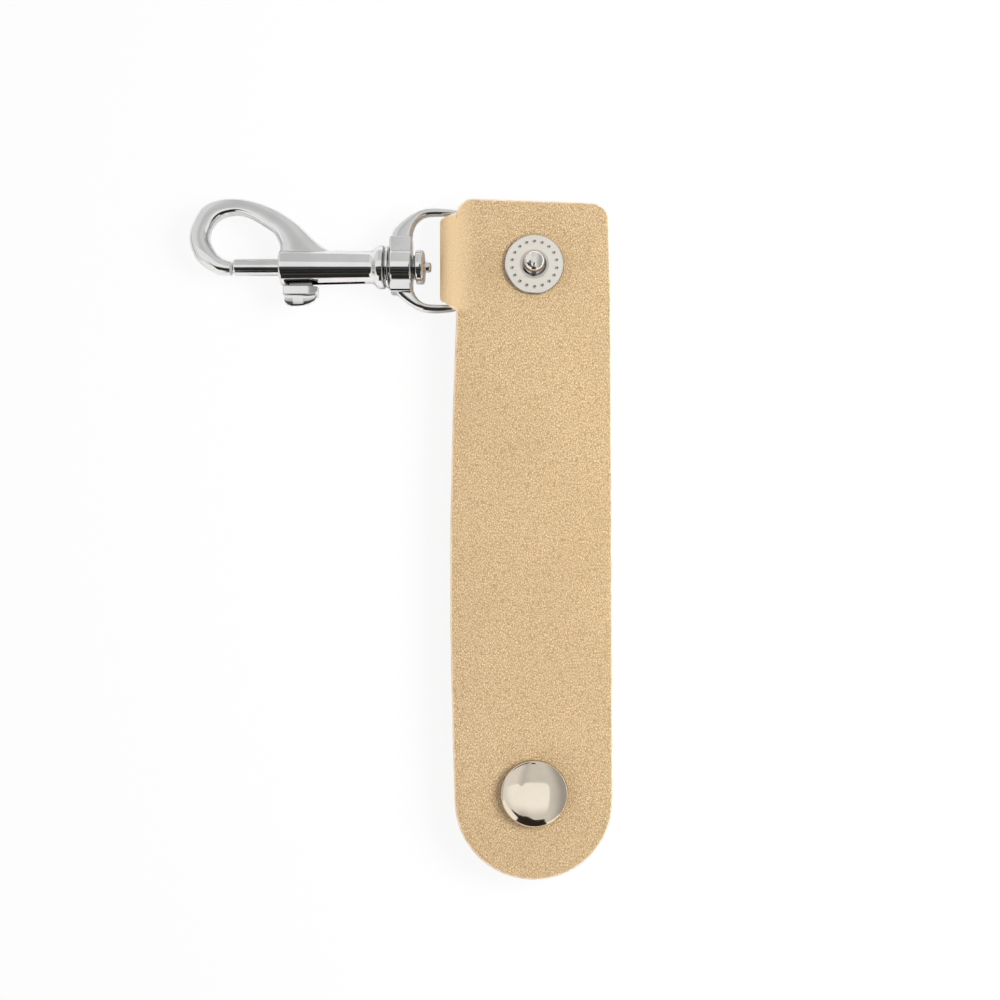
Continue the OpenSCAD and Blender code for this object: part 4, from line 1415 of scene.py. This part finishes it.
class KEYSTRAP_OT_stage(Operator):
    """Makes the floor, the soft light, the cards that the metal reflects, and the camera"""

    bl_idname = "keystrap.stage"
    bl_label = "Studio"

    def execute(self, context):
        stage = context.scene.key_stage
        context.scene.view_settings.view_transform = "Standard"
        self.make_world(context, stage)
        self.make_floor(stage)
        self.make_lamp(context, stage)
        self.make_cards()
        self.make_camera(context, stage)
        return {"FINISHED"}

    def make_world(self, context, stage):
        world = bpy.data.worlds.new("studio")
        context.scene.world = world
        world.use_nodes = True
        nodes = Nodes(world.node_tree)
        sky = world.node_tree.nodes["Background"]
        across, _, height = nodes.split(nodes.place("Generated"))
        grey = stage.studio
        level = nodes.mix(across.above(-0.2, -0.9), (1.4 * grey,) * 3, (4.5 * grey,) * 3)
        soft = nodes.mix(height.above(0.05, 0.75), level, (1.08 * grey, grey, 1.01 * grey))
        overhead = nodes.mix(across.above(-0.22, -0.04), (0.55,) * 3, (0.66,) * 3)
        right = nodes.mix(across.above(0.25, 0.75), overhead, (0.36,) * 3)
        left = nodes.mix(across.above(-0.2, -0.42), right, (0.76,) * 3)
        mirrored = nodes.mix(across.above(-0.9, -0.98), left, (0.45,) * 3)
        light = nodes.mix(nodes.light_path("Is Glossy Ray"), soft, mirrored)
        camera = nodes.light_path("Is Camera Ray")
        nodes.join(nodes.mix(camera, light, (1.0, 1.0, 1.0)), sky.inputs["Color"])

    def make_floor(self, stage):
        def surface(nodes):
            matt = nodes.node("ShaderNodeBsdfDiffuse", {}, {"Color": opaque(stage.floor)})
            share = nodes.light_path("Is Camera Ray") * 0.88
            inputs = {0: share, 1: matt, 2: emission(nodes, (1, 1, 1))}
            return nodes.node("ShaderNodeMixShader", {}, inputs)

        stage_piece("floor", level_corners(Vector(), -1500, -1500, 1500, 1500, -0.01), surface)

    def make_lamp(self, context, stage):
        lamp = bpy.data.lights.new("soft_lamp", "AREA")
        lamp.energy = stage.lamp
        lamp.shape = "RECTANGLE"
        lamp.size = 200 * MM
        lamp.size_y = 150 * MM
        aim = Vector((20, 0, 0)) * MM
        holder = bpy.data.objects.new("soft_lamp", lamp)
        holder.location = Vector((240, 30, 200)) * MM
        holder.rotation_mode = "QUATERNION"
        holder.rotation_quaternion = (holder.location - aim).to_track_quat("Z", "Y")
        holder.visible_glossy = False
        context.scene.collection.objects.link(holder)

    def make_cards(self):
        hook_line = on_axis(0)
        stud_line = at_height(STUD, 0)
        for name, origin, places, light in (
            ("near_flag", hook_line, (-52, -48, 12, -4.5, 28), streaks),
            ("ring_flag", hook_line, (2, -5, 13, 3, 28.2), streaks),
            ("light_card", hook_line, (-52, -3.1, 3.5, 7.4, 20), (0.89,) * 3),
            ("stud_flag", stud_line, (-8, -42, 3, -10, 48), (0.05,) * 3),
            ("stud_card", stud_line, (-14, -6, 14, 40, 66), (0.77, 0.745, 0.7)),
        ):
            stage_card(name, level_corners(origin, *places), light)
        outline = (
            (-150, 22), (130, 22), (120, 304), (25, 318),
            (-40, 400), (-137, 376), (-319, 436), (-136, 251),
        )
        stage_card("front_flag", upright_corners(-350, outline), (0.025, 0.021, 0.016))
        white = (1.0, 0.98, 0.92)
        left = ((-760, 15), (-152, 15), (-152, 290), (-760, 520))
        right = ((132, 15), (330, 15), (330, 90), (132, 130))
        stage_card("left_streak", upright_corners(-352, left), white)
        stage_card("right_streak", upright_corners(-352, right), white)
        stage_card("pale_card", level_corners(Vector(), -250, -228, 100, -26, 250), pale, faded)

    def make_camera(self, context, stage):
        camera = bpy.data.cameras.new("camera")
        camera.sensor_width = 36
        camera.lens = stage.lens
        camera.shift_x, camera.shift_y = stage.shift
        camera.clip_start = 0.01
        holder = bpy.data.objects.new("camera", camera)
        holder.location = at_height(STUD, 0) + Vector(stage.camera)
        context.scene.collection.objects.link(holder)
        context.scene.camera = holder


class KEYSTRAP_PT_sidebar(Panel):
    """Lists the pieces of the key strap"""

    bl_idname = "KEYSTRAP_PT_sidebar"
    bl_label = "Key Strap"
    bl_space_type = "VIEW_3D"
    bl_region_type = "UI"
    bl_category = "Key Strap"

    def draw(self, context):
        for step in STEPS:
            self.layout.operator(step.bl_idname)
        for name, kind in SETTINGS.items():
            group = getattr(context.scene, name)
            box = self.layout.box()
            for key in kind.__annotations__:
                box.prop(group, key)


STEPS = (
    KEYSTRAP_OT_leather,
    KEYSTRAP_OT_stud,
    KEYSTRAP_OT_cap,
    KEYSTRAP_OT_socket,
    KEYSTRAP_OT_hook,
    KEYSTRAP_OT_eye,
    KEYSTRAP_OT_rivet,
    KEYSTRAP_OT_latch,
    KEYSTRAP_OT_stage,
)
SETTINGS = {
    "key_strap": StrapSettings,
    "key_snap": SnapSettings,
    "key_hook": HookSettings,
    "key_stage": StageSettings,
}
CLASSES = (*SETTINGS.values(), *STEPS, KEYSTRAP_PT_sidebar)


def register():
    for made in CLASSES:
        bpy.utils.register_class(made)
    for name, kind in SETTINGS.items():
        setattr(bpy.types.Scene, name, PointerProperty(type=kind))


def unregister():
    for name in SETTINGS:
        delattr(bpy.types.Scene, name)
    for made in reversed(CLASSES):
        bpy.utils.unregister_class(made)


def main():
    register()
    for step in STEPS:
        group, name = step.bl_idname.split(".")
        getattr(getattr(bpy.ops, group), name)()


if __name__ == "__main__":
    main()
